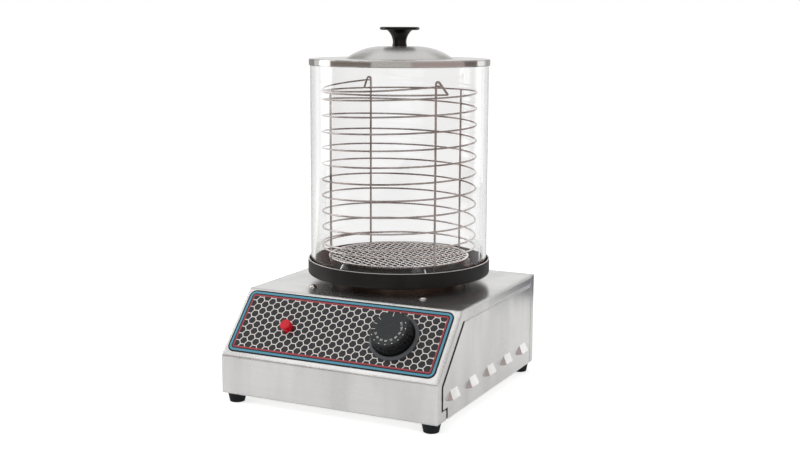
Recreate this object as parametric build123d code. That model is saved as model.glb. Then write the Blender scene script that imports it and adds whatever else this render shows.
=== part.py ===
from build123d import *
import math
import os

# Hot dog steamer: a sheet steel base with a heated water pan, and on the pan a glass
# cylinder that holds a coiled wire basket under a spun lid. All sizes are in millimetres.
# The origin is on the floor below the middle of the whole machine. X runs to the right,
# Y to the back and Z up; the sloping control panel faces the front.

# Base housing
housing_width = 258.5
housing_depth = 276.5
housing_height = 105.5
front_wall_height = 42.2
slope_run = 59.8  # how far the sloping panel leans back
sheet = 1.0  # thickness of all the folded steel
fold_radius = 2.0  # outside radius of the two long folds
edge_radius = 1.2  # outside radius of the side folds
side_flange = 10.5  # strip of the cover that folds round beside the front and the slope
top_flange = 11.6  # strip of the cover that folds down beside the top
rear_flange = 9.5  # strip of the back panel that folds round each side
tab_width = 22.3  # foot of the side flange, wider than the rest
tab_height = 11.0
front_seam = 4.2  # open seam between the side flange and the tray's side
close_seam = 1.4  # seam below the top flange and before the rear flange
joggle_overlap = 6.0  # how far the tray's side runs behind the flanges
lip = 12.0  # folded lips that take the back panel's screws
back_screw_inset = 7.2  # from the bottom and the top sheet
back_screw_side = 36.2  # from the housing's sides to the outer screws

# Louvres pressed out of the tray's sides, each a hood that is open along its lower edge
louvre_count = 5
louvre_pitch = 49.9
louvre_first = 40.0  # from the front wall to the middle of the first louvre
louvre_fold = 18.2  # length of its upper fold
louvre_edge = 20.0  # length of its lower edge
louvre_foot = 32.6  # length along the sheet at the lower edge, over both sloping ends
louvre_top = 29.0  # upper fold, above the bottom of the housing
louvre_drop = 10.2
louvre_reach = 4.3  # how far the lower edge stands out

# Feet
foot_height = 11.0
foot_radius = 8.2
foot_top_radius = 10.5
foot_inset = 12.0
foot_recess = 4.0
foot_edge = 0.8

# Screws and nuts
screw_radius = 2.0
screw_head_radius = 3.6
screw_head_height = 2.2
screw_length = 9.0
screw_clearance = 0.2  # radial room round a screw in a sheet
head_room = 0.6  # radial room round a sunk screw head
screw_end = 1.0  # how far a screw stands past its nut
slot_width = 0.9
slot_length = 4.7
slot_depth = 0.75
head_round = 0.6  # rounding of a screw head's top edge
flat_head_height = 1.3
nut_width = 7.0
nut_height = 3.2
dome_head_radius = 4.2
dome_head_height = 2.8
dome_spread_x = 68.0  # the top plate's four screws, from the pan's axis
dome_spread_y = 80.0

# Control panel
overlay_left = 3.6  # bare steel beside the overlay
overlay_right = 6.0
overlay_length = 78.4
overlay_thickness = 0.5
overlay_corner = 8.0
overlay_start = 6.0  # from the lower fold, up the slope
dial_from_side = 63.75
dial_up = 46.5  # from the lower fold, up the slope
dial_top_radius = 21.2
dial_base_radius = 23.0
dial_height = 19.5
dial_wall = 1.8
dial_edge = 1.4
dial_band = 4.2  # rim above the groove
dial_skirt = 2.0  # straight foot of the dial
dial_step = 0.5  # how far the skirt stands out below the groove
dial_gap = 0.7  # room below and round the dial
dial_groove = 0.5
bezel_radius = 27.5
bezel_height = 3.6
bezel_floor = 0.8
bezel_edge_height = 2.0  # where the bezel's outer chamfer starts
bezel_chamfer = 1.2
bezel_lead = 0.7
bezel_room = 1.5  # radial room round the thermostat's bush
spindle_radius = 3.0
spindle_flat = 2.2  # from the spindle's axis to its flat
spindle_depth = 14.0
running_gap = 0.05
hub_radius = 6.0
bush_radius = 4.8
thermostat_width = 34.0
thermostat_height = 30.0
thermostat_depth = 22.0
thermostat_flange = 1.5
thermostat_flange_width = 40.0
thermostat_flange_height = 18.0
thermostat_corner = 2.0
spindle_room = 2.0
thermostat_screw_spread = 28.0
lamp_from_side = 67.25
lamp_up = 42.5
lamp_radius = 6.2
lamp_height = 9.0
lamp_chamfer = 1.0
lamp_body_radius = 5.0
lamp_body_depth = 26.0
lamp_spigot_radius = 4.0
lamp_spigot_height = 5.0
lamp_nut_radius = 8.0
lamp_nut_height = 3.0
blade_width = 4.8
blade_thickness = 0.8
blade_length = 8.0

# Water pan, heater and what clamps them
axis_from_back = 102.2  # the pan's axis, ahead of the back panel
pan_radius = 104.4
pan_wall = 1.5
pan_height = 17.6
pan_corner = 3.0
shroud_radius = 77.0
shroud_wall = 1.5
shroud_height = 10.0
plate_radius = 72.0
plate_thickness = 5.0
element_radius = 48.0
element_tube = 3.5
element_leg_spread = 30.0  # between the element's two legs
element_leg_drop = 24.0
element_bend = 8.0
board_thickness = 1.3
groove_gap = 0.15
bulb_radius = 3.0
bulb_length = 50.0
bulb_offset = 25.0
capillary_radius = 0.8
capillary_bend = 7.2
capillary_lead = 8.0  # straight run from the bulb to the first bend
capillary_drop = 24.0  # straight run behind the thermostat
leg_hole_gap = 2.0
stud_radius = 3.0
stud_length = 24.0
stud_nut_width = 10.0
stud_nut_height = 5.0
rail_width = 16.0
rail_thickness = 1.5
rail_overhang = 12.0  # past the dome screws
bar_width = 24.0
bar_thickness = 2.5
bar_overhang = 8.0  # past the rails' middle lines

# Mains inlet
gland_height = 30.0  # above the bottom of the housing
gland_from_side = 49.25
gland_bore = 3.8
gland_thread_radius = 6.0
gland_flange_radius = 10.0
gland_flange = 4.0
gland_cap = 10.0
gland_cap_radius = 9.0
gland_mouth_radius = 5.9
gland_edge = 1.2
gland_tail = 8.0
gland_nut_height = 4.0
block_width = 42.0
block_depth = 20.0
block_height = 16.0
block_ways = 3
block_edge = 1.0
way_radius = 2.6
way_height = 6.4
well_radius = 2.4
well_depth = 9.6
terminal_screw_radius = 2.2
terminal_screw_length = 8.0
terminal_screw_sink = 1.0

# Glass cylinder
glass_radius = 101.0
glass_wall = 4.0
glass_height = 242.0
glass_edge = 0.6

# Lid
lid_room = 0.5  # radial room between the glass and the lid's band
lid_sheet = 1.0
lid_band = 7.4
lid_edge = 0.8
dome_radius = 61.5
dome_flat_radius = 24.5
dome_height = 13.6
dome_bow_height = 8.4  # height of the dome half way up its flank
dome_bulge = 3.6  # how far the flank bows out there from a straight cone
knob_radius = 22.4
knob_disc = 3.6
knob_height = 21.6
knob_waist_radius = 7.9
knob_waist_height = 6.5
knob_foot_radius = 8.6
knob_neck_radius = 14.5
knob_bore_depth = 12.0
lid_screw_radius = 2.5
lid_screw_head_radius = 4.6
lid_screw_head_height = 2.6
washer_radius = 8.0
washer_thickness = 1.2

# Perforated standing grid
grid_radius = 80.7
grid_rim_width = 2.7
grid_rim_height = 2.6
grid_rim_edge = 0.5
grid_height = 17.0  # from the pan's floor to the rim's underside
mesh_thickness = 1.0
mesh_seat = 1.7  # how far the mesh runs into the rim
cell_length = 19.0
cell_width = 7.8
cell_bearing = 126.0  # of the cells' long axis
strand = 1.6
grid_leg_count = 5
grid_leg_start = -115.0
grid_leg_radius = 1.1
grid_leg_root = 77.6
grid_foot_circle = 82.0
grid_leg_splay = 6.0
grid_leg_bend = 2.5

# Coiled basket
coil_radius = 87.5  # to the middle of the wire
coil_wire = 1.0
coil_bottom = 30.4  # above the pan's floor
coil_top = 206.2
coil_turns = 9.72
coil_start = 130.0  # bearing, from +X towards the back
coil_last_arc = 303.0
coil_section = 180.0  # the coil is made up of arcs of about this many degrees
rod_radius = 1.25
rod_weld = 0.3  # how deep the rods sink into the coil where they are welded
plain_rod_bearings = (58.0, 235.0)
loop_rod_bearings = (-37.0, 140.0)
loop_foot_turns = (10.2, 6.0)  # bearing from each looped rod to the foot of its loop
loop_peaks = (18.3, 24.5)  # where the loop's two runs would meet, above the top ring
loop_bend = 2.5
bail_wire = 1.0
bail_radius = 89.5
bail_bend = 2.4
bail_tail = 9.0
bail_pivot_height = 9.3  # above the top ring
bail_pivot_offsets = (3.8, 2.75)  # from each looped rod to the bail's end, round the ring
bail_rest_gap = 0.3

# Places worked out from the sizes above
slope_angle = math.atan2(housing_height - front_wall_height, slope_run)
slope_sin = math.sin(slope_angle)
slope_cos = math.cos(slope_angle)
half_width = housing_width / 2
overlay_width = housing_width - overlay_left - overlay_right
overlay_x = (overlay_left - overlay_right) / 2
dial_x = half_width - dial_from_side
lamp_x = lamp_from_side - half_width
gland_x = half_width - gland_from_side
bottom_z = foot_height
fold_z = bottom_z + front_wall_height
top_z = bottom_z + housing_height
dial_overhang = dial_height * slope_sin - (dial_up - dial_top_radius) * slope_cos
front_overhang = max(0.0, dial_overhang)
gland_reach = gland_flange + gland_cap
front_y = front_overhang - (front_overhang + housing_depth + gland_reach) / 2
back_y = front_y + housing_depth
axis_y = back_y - axis_from_back
pan_z = top_z + shroud_height
floor_z = pan_z + pan_wall
rim_z = pan_z + pan_height
glass_top = floor_z + glass_height
lid_top = glass_top + lid_sheet
lid_radius = glass_radius + lid_room + lid_sheet
plateau_z = lid_top + dome_height
ring_top_z = floor_z + coil_top
rod_circle = coil_radius - coil_wire - rod_radius + rod_weld
stand = (Align.CENTER, Align.CENTER, Align.MIN)
hang = (Align.CENTER, Align.CENTER, Align.MAX)
close = 0.01  # how near two places are to count as one
axis_place = Pos(0, axis_y, 0)
slope_plane = Plane(
    origin=(0, front_y, fold_z), x_dir=(1, 0, 0), z_dir=(0, -slope_sin, slope_cos)
)


def disc(radius, height, z=0.0):
    return Pos(0, 0, z) * Cylinder(radius, height, align=stand)


def ring(outer, inner, height, z=0.0):
    return disc(outer, height, z) - disc(inner, height, z)


def nut(width, height, bore, z=0.0):
    body = extrude(RegularPolygon(width / 2, 6, major_radius=False), height)
    return Pos(0, 0, z) * (body - disc(bore, height))


def pan_head_screw(radius, length, head_radius, head_height):
    """A screw whose head stands on z = 0, with the shank below it."""
    head = disc(head_radius, head_height)
    head = fillet(head.edges().sort_by(Axis.Z)[-1], head_round)
    slot = Pos(0, 0, head_height) * Box(slot_length, slot_width, 2 * slot_depth)
    cross = slot + Rot(0, 0, 90) * slot
    return head - cross + Cylinder(radius, length, align=hang)


def on_slope(shape, x, up):
    """Moves a shape made round z = 0 onto the sloping panel."""
    return slope_plane * Pos(x, up, 0) * shape


def side_point(depth_in, height_in, z_top):
    """Where a line laid depth_in behind the slope meets the height z_top - height_in."""
    z = z_top - height_in
    y = front_y + (depth_in + (z - fold_z) * slope_cos) / slope_sin
    return (y, z)


def fold_point(front_in, slope_in):
    """Where a line laid slope_in behind the slope meets one front_in behind the front."""
    drop = (slope_in - front_in * slope_sin) / slope_cos
    return (front_y + front_in, fold_z - drop)


def side_prism(points, x0, x1):
    outline = Plane.YZ.offset(x0) * make_face(Polyline(*points, close=True))
    return extrude(outline, x1 - x0)


def housing_block(inset, below, behind):
    """The housing's outer form, drawn in by inset and run on below and behind."""
    points = [
        (front_y + inset, bottom_z - below),
        fold_point(inset, inset),
        side_point(inset, inset, top_z),
        (back_y + behind, top_z - inset),
        (back_y + behind, bottom_z - below),
    ]
    block = side_prism(points, inset - half_width, half_width - inset)
    folds = block.edges().filter_by(Axis.X).sort_by(Axis.Z)
    folds = [edge for edge in folds if is_fold(edge, points)]
    return fillet(folds, fold_radius - inset)


def is_fold(edge, points):
    middle = edge.center()
    return any(math.dist((middle.Y, middle.Z), point) < close for point in points[1:3])


def window_points(front_gap, close_gap):
    """Outline of the cover's side opening, drawn in by the given seams."""
    tab_z = bottom_z + tab_height
    rear_y = back_y - rear_flange
    inner = side_flange + front_gap
    return [
        (front_y + tab_width + front_gap, bottom_z),
        (front_y + tab_width + front_gap, tab_z + close_gap),
        (front_y + inner, tab_z + close_gap),
        fold_point(inner, inner),
        side_point(inner, top_flange + close_gap, top_z),
        (rear_y - close_gap, top_z - top_flange - close_gap),
        (rear_y - close_gap, bottom_z),
    ]


def housing_cover():
    """Front, slope and top in one folded sheet, with its side flanges."""
    outer = housing_block(0, 0, 0)
    rims = [e for e in outer.edges() if is_side_rim(e)]
    cover = fillet(rims, edge_radius) - housing_block(sheet, sheet, sheet)
    window = window_points(0, 0)
    behind = [
        (back_y - rear_flange, bottom_z),
        (back_y - rear_flange, top_z - sheet),
        (back_y, top_z - sheet),
        (back_y, bottom_z),
    ]
    for points in (window, behind):
        cover -= side_prism(points, -half_width, half_width)
    corner = (Align.CENTER, Align.MAX, Align.MAX)
    lip_box = Box(housing_width - 4 * sheet, sheet, lip, align=corner)
    cover += Pos(0, back_y - sheet, top_z - sheet) * lip_box
    return cover - cover_holes()


def is_side_rim(edge):
    """The edges round each side face, apart from its bottom and its back."""
    middle = edge.center()
    at_side = abs(abs(middle.X) - half_width) < close and not edge.is_closed
    along_bottom = abs(middle.Z - bottom_z) < close
    along_back = abs(middle.Y - back_y) < close
    flat = edge.bounding_box().size.X < close
    return at_side and flat and not along_bottom and not along_back


def cover_holes():
    tool = 4 * sheet
    lamp = on_slope(Cylinder(lamp_body_radius, tool), lamp_x, lamp_up)
    bush = on_slope(Cylinder(bush_radius, tool), dial_x, dial_up)
    holes = lamp + bush
    for x in (-1, 1):
        fixing = Pos(x * thermostat_screw_spread / 2, 0, 0)
        fixing *= Cylinder(screw_radius + screw_clearance, tool)
        holes += on_slope(fixing, dial_x, dial_up)
    drill = Cylinder(screw_radius + screw_clearance, tool)
    for place in dome_places():
        holes += place * drill
    holes += axis_place * Pos(0, 0, top_z) * Cylinder(stud_radius + screw_clearance, tool)
    for leg in element_leg_places():
        holes += leg * Cylinder(element_tube + leg_hole_gap, tool)
    holes += bulb_exit() * Cylinder(capillary_radius + leg_hole_gap, tool)
    for place in back_screw_places():
        holes += place * drill
    return holes


def dome_places():
    return [
        axis_place * Pos(x * dome_spread_x, y * dome_spread_y, top_z)
        for x in (-1, 1)
        for y in (-1, 1)
    ]


def element_leg_places():
    y = -math.sqrt(element_radius**2 - (element_leg_spread / 2) ** 2)
    return [axis_place * Pos(x * element_leg_spread / 2, y, top_z) for x in (-1, 1)]


def bulb_exit():
    x = bulb_length / 2 + capillary_lead
    return axis_place * Pos(x, bulb_offset, top_z)


def back_screw_places():
    """Six screws through the back panel: three in each lip. Their heads face backwards."""
    heights = (bottom_z + back_screw_inset, top_z - sheet - back_screw_inset)
    across = half_width - back_screw_side
    return [
        Pos(x * across, back_y, z) * Rot(-90, 0, 0)
        for z in heights
        for x in (-1, 0, 1)
    ]


def louvred_tray():
    """Bottom plate and both louvred sides in one folded sheet."""
    inner_half = half_width - sheet
    length = housing_depth - 2 * sheet
    corner = (Align.CENTER, Align.MIN, Align.MIN)
    tray = Pos(0, front_y + sheet, bottom_z) * Box(2 * inner_half, length, sheet, align=corner)
    corner = (Align.CENTER, Align.MAX, Align.MIN)
    rear_lip = Box(2 * (inner_half - sheet), sheet, lip, align=corner)
    tray += Pos(0, back_y - sheet, bottom_z) * rear_lip
    side = tray_side()
    tray += side + mirror(side, about=Plane.YZ)
    drill = Cylinder(screw_radius + screw_clearance, 4 * sheet)
    for place in foot_places():
        tray -= place * Pos(0, 0, bottom_z) * drill
    for place in back_screw_places():
        tray -= place * drill
    return tray


def tray_side():
    outline = window_points(front_seam, close_seam)
    side = side_prism(outline, half_width - sheet, half_width)
    rear_y = back_y - rear_flange - close_seam
    flange_z = top_z - top_flange - close_seam
    slope_y = side_point(side_flange + front_seam, top_flange + close_seam, top_z)[0]
    behind_top = [
        (slope_y, flange_z - joggle_overlap / 2),
        (slope_y + joggle_overlap, flange_z + joggle_overlap),
        (rear_y + joggle_overlap, flange_z + joggle_overlap),
        (rear_y + joggle_overlap, bottom_z + sheet),
        (rear_y - joggle_overlap / 2, bottom_z + sheet),
        (rear_y - joggle_overlap / 2, flange_z - joggle_overlap / 2),
    ]
    side += side_prism(behind_top, half_width - 2 * sheet, half_width - sheet)
    for index in range(louvre_count):
        y = front_y + louvre_first + index * louvre_pitch
        place = Pos(half_width, y, bottom_z + louvre_top)
        hood = louvre_hood()
        pressed = offset(hood, -sheet, openings=[lowest_face(hood), hood.faces().sort_by(Axis.X)[0]])
        hollow = hood - pressed
        side -= place * extrude(hollow.faces().sort_by(Axis.X)[0], sheet, dir=(-1, 0, 0))
        side += place * pressed
    return side


def louvre_hood():
    """Outer form of one louvre, from the middle of its upper fold."""
    fold = [(0, y, 0) for y in (-louvre_fold / 2, louvre_fold / 2)]
    edge = [(louvre_reach, y, -louvre_drop) for y in (-louvre_edge / 2, louvre_edge / 2)]
    foot = [(0, y, -louvre_drop) for y in (-louvre_foot / 2, louvre_foot / 2)]
    front = Polyline(fold[0], edge[0], foot[0], close=True)
    rear = Polyline(fold[1], edge[1], foot[1], close=True)
    face = Polyline(*fold, *reversed(edge), close=True)
    back = Polyline(*fold, *reversed(foot), close=True)
    below = Polyline(*edge, *reversed(foot), close=True)
    return Solid(Shell([make_face(outline).face() for outline in (front, rear, face, back, below)]))


def lowest_face(solid):
    return solid.faces().sort_by(Axis.Z)[0]


def back_panel():
    depth = (Align.CENTER, Align.MAX, Align.MIN)
    height = housing_height - sheet
    place = Pos(0, back_y, bottom_z)
    panel = place * Box(housing_width, rear_flange, height, align=depth)
    uprights = panel.edges().filter_by(Axis.Z).group_by(Axis.Y)[-1]
    panel = fillet(uprights, edge_radius)
    hollow = Box(housing_width - 2 * sheet, rear_flange, height, align=depth)
    panel -= Pos(0, back_y - sheet, bottom_z) * hollow
    for screw in back_screw_places():
        panel -= screw * Cylinder(screw_radius + screw_clearance, 4 * sheet)
    return panel - gland_place() * Cylinder(gland_thread_radius, 4 * sheet)


def gland_place():
    return Pos(gland_x, back_y, bottom_z + gland_height) * Rot(-90, 0, 0)


def foot_places():
    x = half_width - foot_inset
    ys = (front_y + foot_inset, back_y - foot_inset)
    return [Pos(side * x, y, 0) for y in ys for side in (-1, 1)]


def rubber_foot():
    foot = Cone(foot_radius, foot_top_radius, foot_height, align=stand)
    foot = fillet(foot.edges().sort_by(Axis.Z)[0], foot_edge)
    foot -= disc(screw_head_radius + head_room, foot_recess)
    return foot - disc(screw_radius + screw_clearance, foot_height)


def foot_screw():
    length = foot_height - foot_recess + sheet + nut_height + screw_end
    screw = pan_head_screw(screw_radius, length, screw_head_radius, screw_head_height)
    return Pos(0, 0, foot_recess) * Rot(180, 0, 0) * screw


def panel_overlay():
    """Printed plastic sheet stuck on the slope."""
    middle = overlay_start + overlay_length / 2
    sheet_face = RectangleRounded(overlay_width, overlay_length, overlay_corner)
    overlay = on_slope(extrude(sheet_face, overlay_thickness), overlay_x, middle)
    overlay -= on_slope(disc(lamp_body_radius, overlay_thickness), lamp_x, lamp_up)
    holes = disc(bush_radius, overlay_thickness)
    for x in (-1, 1):
        fixing = disc(screw_radius + screw_clearance, overlay_thickness)
        holes += Pos(x * thermostat_screw_spread / 2, 0, 0) * fixing
    return overlay - on_slope(holes, dial_x, dial_up)


def dial_bezel():
    low = overlay_thickness
    inner = dial_base_radius + dial_gap
    profile = Polyline(
        (bush_radius + bezel_room, low),
        (bezel_radius, low),
        (bezel_radius, low + bezel_edge_height),
        (bezel_radius - bezel_chamfer, low + bezel_height),
        (inner + bezel_lead, low + bezel_height),
        (inner, low + bezel_height - bezel_lead),
        (inner, low + bezel_floor),
        (bush_radius + bezel_room, low + bezel_floor),
        close=True,
    )
    bezel = revolve(Plane.XZ * make_face(profile), Axis.Z)
    for x in (-1, 1):
        hole = Pos(x * thermostat_screw_spread / 2, 0, low)
        bezel -= hole * disc(screw_head_radius + head_room, bezel_floor)
    return on_slope(bezel, dial_x, dial_up)


def dial_knob():
    """Hollow moulded cap with a D-bored hub."""
    low = overlay_thickness + bezel_floor + dial_gap
    step = dial_height - dial_band
    outer = Polyline(
        (0, low),
        (dial_base_radius, low),
        (dial_base_radius, low + dial_skirt),
        (dial_top_radius + dial_step, step),
        (dial_top_radius - dial_groove, step),
        (dial_top_radius - dial_groove, step + dial_groove),
        (dial_top_radius, step + dial_groove),
        (dial_top_radius, dial_height - dial_edge),
        (dial_top_radius - dial_edge, dial_height),
        (0, dial_height),
        close=True,
    )
    knob = revolve(Plane.XZ * make_face(outer), Axis.Z)
    cavity = Cone(
        dial_base_radius - dial_wall,
        dial_top_radius - dial_wall - dial_groove,
        dial_height - dial_wall - low,
        align=stand,
    )
    knob -= Pos(0, 0, low) * cavity
    knob += disc(hub_radius, dial_height - dial_wall - low, low)
    knob -= d_shaft(low, dial_height - 2 * dial_wall)
    return on_slope(knob, dial_x, dial_up)


def d_shaft(z0, z1):
    shaft = disc(spindle_radius, z1 - z0, z0)
    corner = (Align.CENTER, Align.MIN, Align.MIN)
    keep = Box(2 * spindle_radius, spindle_radius + spindle_flat, z1 - z0, align=corner)
    return shaft & Pos(0, -spindle_radius, z0) * keep


def thermostat_spindle():
    low = overlay_thickness + bezel_floor + dial_gap
    spindle = disc(spindle_radius, spindle_depth + low, -spindle_depth)
    spindle += d_shaft(low, dial_height - 2 * dial_wall)
    return on_slope(spindle, dial_x, dial_up)


def thermostat_body():
    body = Box(thermostat_width, thermostat_height, thermostat_depth, align=hang)
    body = fillet(body.edges().filter_by(Axis.Z), thermostat_corner)
    body = Pos(0, 0, -sheet - thermostat_flange) * body
    plate = (thermostat_flange_width, thermostat_flange_height, thermostat_flange)
    flange = Box(*plate, align=hang)
    body += Pos(0, 0, -sheet) * flange
    body += disc(bush_radius, sheet + overlay_thickness, -sheet)
    bush = disc(spindle_radius + running_gap, spindle_depth + spindle_room, -spindle_depth)
    body -= bush
    for x in (-1, 1):
        tap = disc(screw_radius, screw_length, -screw_length)
        body -= Pos(x * thermostat_screw_spread / 2, 0, overlay_thickness) * tap
    return on_slope(body, dial_x, dial_up)


def thermostat_screws():
    head = (screw_head_radius, flat_head_height)
    screw = pan_head_screw(screw_radius, screw_length, *head)
    half = thermostat_screw_spread / 2
    return [
        on_slope(Pos(x * half, 0, overlay_thickness) * screw, dial_x, dial_up)
        for x in (-1, 1)
    ]


def lamp_lens():
    lens = disc(lamp_radius, lamp_height - overlay_thickness, overlay_thickness)
    lens = chamfer(lens.edges().sort_by(Axis.Z)[-1], lamp_chamfer)
    lens -= disc(lamp_spigot_radius, lamp_spigot_height, overlay_thickness)
    return on_slope(lens, lamp_x, lamp_up)


def lamp_body():
    body = disc(lamp_body_radius, lamp_body_depth + overlay_thickness, -lamp_body_depth)
    body += disc(lamp_spigot_radius, lamp_spigot_height, overlay_thickness)
    return on_slope(body, lamp_x, lamp_up)


def lamp_nut():
    clip = ring(lamp_nut_radius, lamp_body_radius, lamp_nut_height, -sheet - lamp_nut_height)
    return on_slope(clip, lamp_x, lamp_up)


def lamp_blades():
    blade = Box(blade_width, blade_thickness, blade_length, align=hang)
    return [
        on_slope(Pos(0, y * lamp_body_radius / 2, -lamp_body_depth) * blade, lamp_x, lamp_up)
        for y in (-1, 1)
    ]


def water_pan():
    pan = disc(pan_radius, pan_height, pan_z)
    pan = fillet(pan.edges().sort_by(Axis.Z)[0], pan_corner)
    inside = disc(pan_radius - pan_wall, pan_height, floor_z)
    inside = fillet(inside.edges().sort_by(Axis.Z)[0], pan_corner - pan_wall)
    return axis_place * (pan - inside)


def heater_shroud():
    """Short steel collar that carries the pan above the top plate."""
    return axis_place * ring(shroud_radius, shroud_radius - shroud_wall, shroud_height, top_z)


def heater_plate():
    low = pan_z - plate_thickness
    plate = disc(plate_radius, plate_thickness, low)
    plate -= disc(stud_radius + screw_clearance, plate_thickness, low)
    plate -= Pos(0, 0, low) * Torus(element_radius, element_tube + groove_gap)
    groove = Rot(0, 90, 0) * Cylinder(bulb_radius + groove_gap, bulb_length + 2 * capillary_lead)
    plate -= Pos(0, bulb_offset, low) * groove
    leg_room = Cylinder(element_tube + groove_gap, 2 * plate_thickness)
    for leg in element_leg_places():
        plate -= axis_place.inverse() * leg * leg_room
    return axis_place * plate


def heating_element():
    """Tubular element: one open turn whose ends bend down into the housing."""
    low = pan_z - plate_thickness
    half_gap = math.degrees(math.asin(element_leg_spread / 2 / element_radius))
    turn = CenterArc((0, 0, low), element_radius, -90 + half_gap, 360 - 2 * half_gap)
    section = Plane(origin=turn @ 0, z_dir=turn % 0) * Circle(element_tube)
    element = sweep(section, path=turn)
    for end in (turn @ 0, turn @ 1):
        element += Pos(*end) * Cylinder(element_tube, element_leg_drop, align=hang)
        element += Pos(*end) * Sphere(element_tube)
    return axis_place * element


def insulating_board():
    board = disc(plate_radius, board_thickness, top_z)
    board -= disc(stud_radius + screw_clearance, board_thickness, top_z)
    board = axis_place * board
    for leg in element_leg_places():
        board -= leg * disc(element_tube + leg_hole_gap, board_thickness)
    return board - bulb_exit() * disc(capillary_radius + leg_hole_gap, board_thickness)


def sensing_bulb():
    bulb = Rot(0, 90, 0) * Cylinder(bulb_radius, bulb_length)
    return axis_place * Pos(0, bulb_offset, pan_z - plate_thickness) * bulb


def capillary_tube():
    """Fine copper tube from the bulb down to the back of the thermostat."""
    z = pan_z - plate_thickness
    bulb_end = bulb_length / 2
    back = slope_plane * Pos(dial_x, dial_up, -sheet - thermostat_flange - thermostat_depth)
    end = back.position
    out = slope_plane.z_dir * -capillary_drop
    low_z = (end + out).Z
    exit_x = bulb_end + capillary_lead
    points = [
        (bulb_end, axis_y + bulb_offset, z),
        (exit_x, axis_y + bulb_offset, z),
        (exit_x, axis_y + bulb_offset, low_z),
        tuple(end + out),
        tuple(end),
    ]
    path = FilletPolyline(*points, radius=capillary_bend)
    section = Plane(origin=path @ 0, z_dir=path % 0) * Circle(capillary_radius)
    return sweep(section, path=path)


def pan_stud():
    return axis_place * Pos(0, 0, pan_z) * Cylinder(stud_radius, stud_length, align=hang)


def rail_z():
    return top_z - sheet - rail_thickness


def support_rails():
    """Two stiffening strips under the top plate, held by the dome screws."""
    length = 2 * (dome_spread_y + rail_overhang)
    rails = []
    for x in (-1, 1):
        rail = Box(rail_width, length, rail_thickness, align=stand)
        for y in (-1, 1):
            hole = disc(screw_radius + screw_clearance, rail_thickness)
            rail -= Pos(0, y * dome_spread_y, 0) * hole
        rails.append(axis_place * Pos(x * dome_spread_x, 0, rail_z()) * rail)
    return rails


def clamp_bar():
    length = 2 * (dome_spread_x + bar_overhang)
    bar = Box(length, bar_width, bar_thickness, align=hang)
    bar -= Cylinder(stud_radius + screw_clearance, bar_thickness, align=hang)
    return axis_place * Pos(0, 0, rail_z()) * bar


def stud_nut():
    z = rail_z() - bar_thickness - stud_nut_height
    return axis_place * nut(stud_nut_width, stud_nut_height, stud_radius, z)


def dome_screws():
    head = Sphere(dome_head_radius) & disc(2 * dome_head_radius, 2 * dome_head_radius)
    head = scale(head, (1, 1, dome_head_height / dome_head_radius))
    screw = head + Cylinder(screw_radius, screw_length, align=hang)
    return [place * screw for place in dome_places()]


def dome_nuts():
    z = rail_z() - top_z - nut_height
    return [place * nut(nut_width, nut_height, screw_radius, z) for place in dome_places()]


def cord_gland():
    """Moulded gland with a clear bore, its thread through the back panel."""
    body = nut(2 * gland_flange_radius, gland_flange, gland_bore)
    dome = Cone(gland_cap_radius, gland_mouth_radius, gland_cap, align=stand)
    dome = fillet(dome.edges().sort_by(Axis.Z)[-1], gland_edge)
    body += Pos(0, 0, gland_flange) * (dome - disc(gland_bore, gland_cap))
    body += ring(gland_thread_radius, gland_bore, gland_tail, -gland_tail)
    return gland_place() * body


def gland_nut():
    lock = nut(2 * gland_flange_radius, gland_nut_height, gland_thread_radius)
    return gland_place() * Pos(0, 0, -sheet - gland_nut_height) * lock


def block_place():
    y = back_y - sheet - gland_tail - 2 * block_depth
    return Pos(gland_x, y, bottom_z + sheet)


def way_xs():
    pitch = block_width / block_ways
    return [(index - (block_ways - 1) / 2) * pitch for index in range(block_ways)]


def terminal_block():
    block = Box(block_width, block_depth, block_height, align=stand)
    block = fillet(block.edges().group_by(Axis.Z)[-1], block_edge)
    for x in way_xs():
        tunnel = Pos(x, 0, way_height) * Rot(90, 0, 0) * Cylinder(way_radius, block_depth)
        well = Pos(x, 0, block_height) * Cylinder(well_radius, well_depth, align=hang)
        block -= tunnel + well
    return block_place() * block


def terminal_screws():
    screw = Cylinder(terminal_screw_radius, terminal_screw_length, align=hang)
    z = block_height - terminal_screw_sink
    return [block_place() * Pos(x, 0, z) * screw for x in way_xs()]


def back_screws():
    screw = pan_head_screw(screw_radius, screw_length, screw_head_radius, screw_head_height)
    return [place * screw for place in back_screw_places()]


def glass_cylinder():
    tube = ring(glass_radius, glass_radius - glass_wall, glass_height, floor_z)
    ends = tube.edges().filter_by(GeomType.CIRCLE)
    return axis_place * fillet(ends, glass_edge)


def dome_line(drop):
    """Top line of the lid from its band to the middle, laid drop below the outside."""
    bow = (dome_radius + dome_flat_radius) / 2 + dome_bulge
    return [
        (dome_radius, lid_top - drop),
        (bow, lid_top + dome_bow_height - drop),
        (dome_flat_radius, plateau_z - drop),
    ]


def lid_face(radius, drop, low):
    foot, bow, shoulder = dome_line(drop)
    wall = Polyline((0, low), (radius, low), (radius, lid_top - drop), foot)
    flank = ThreePointArc(foot, bow, shoulder)
    top = Polyline(shoulder, (0, plateau_z - drop), (0, low))
    return Plane.XZ * make_face(wall + flank + top)


def lid_shell():
    """Spun steel lid: a band round the glass, a flat shoulder and a shallow dome."""
    low = lid_top - lid_band
    lid = revolve(lid_face(lid_radius, 0, low), Axis.Z)
    crown = [e for e in lid.edges().filter_by(GeomType.CIRCLE) if is_crown(e)]
    lid = fillet(crown, lid_edge)
    lid -= revolve(lid_face(lid_radius - lid_sheet, lid_sheet, low), Axis.Z)
    lid -= disc(lid_screw_radius + screw_clearance, 2 * dome_height, lid_top)
    return axis_place * lid


def is_crown(edge):
    at_top = abs(edge.center().Z - lid_top) < close
    return at_top and edge.radius > (lid_radius + dome_radius) / 2


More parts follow.
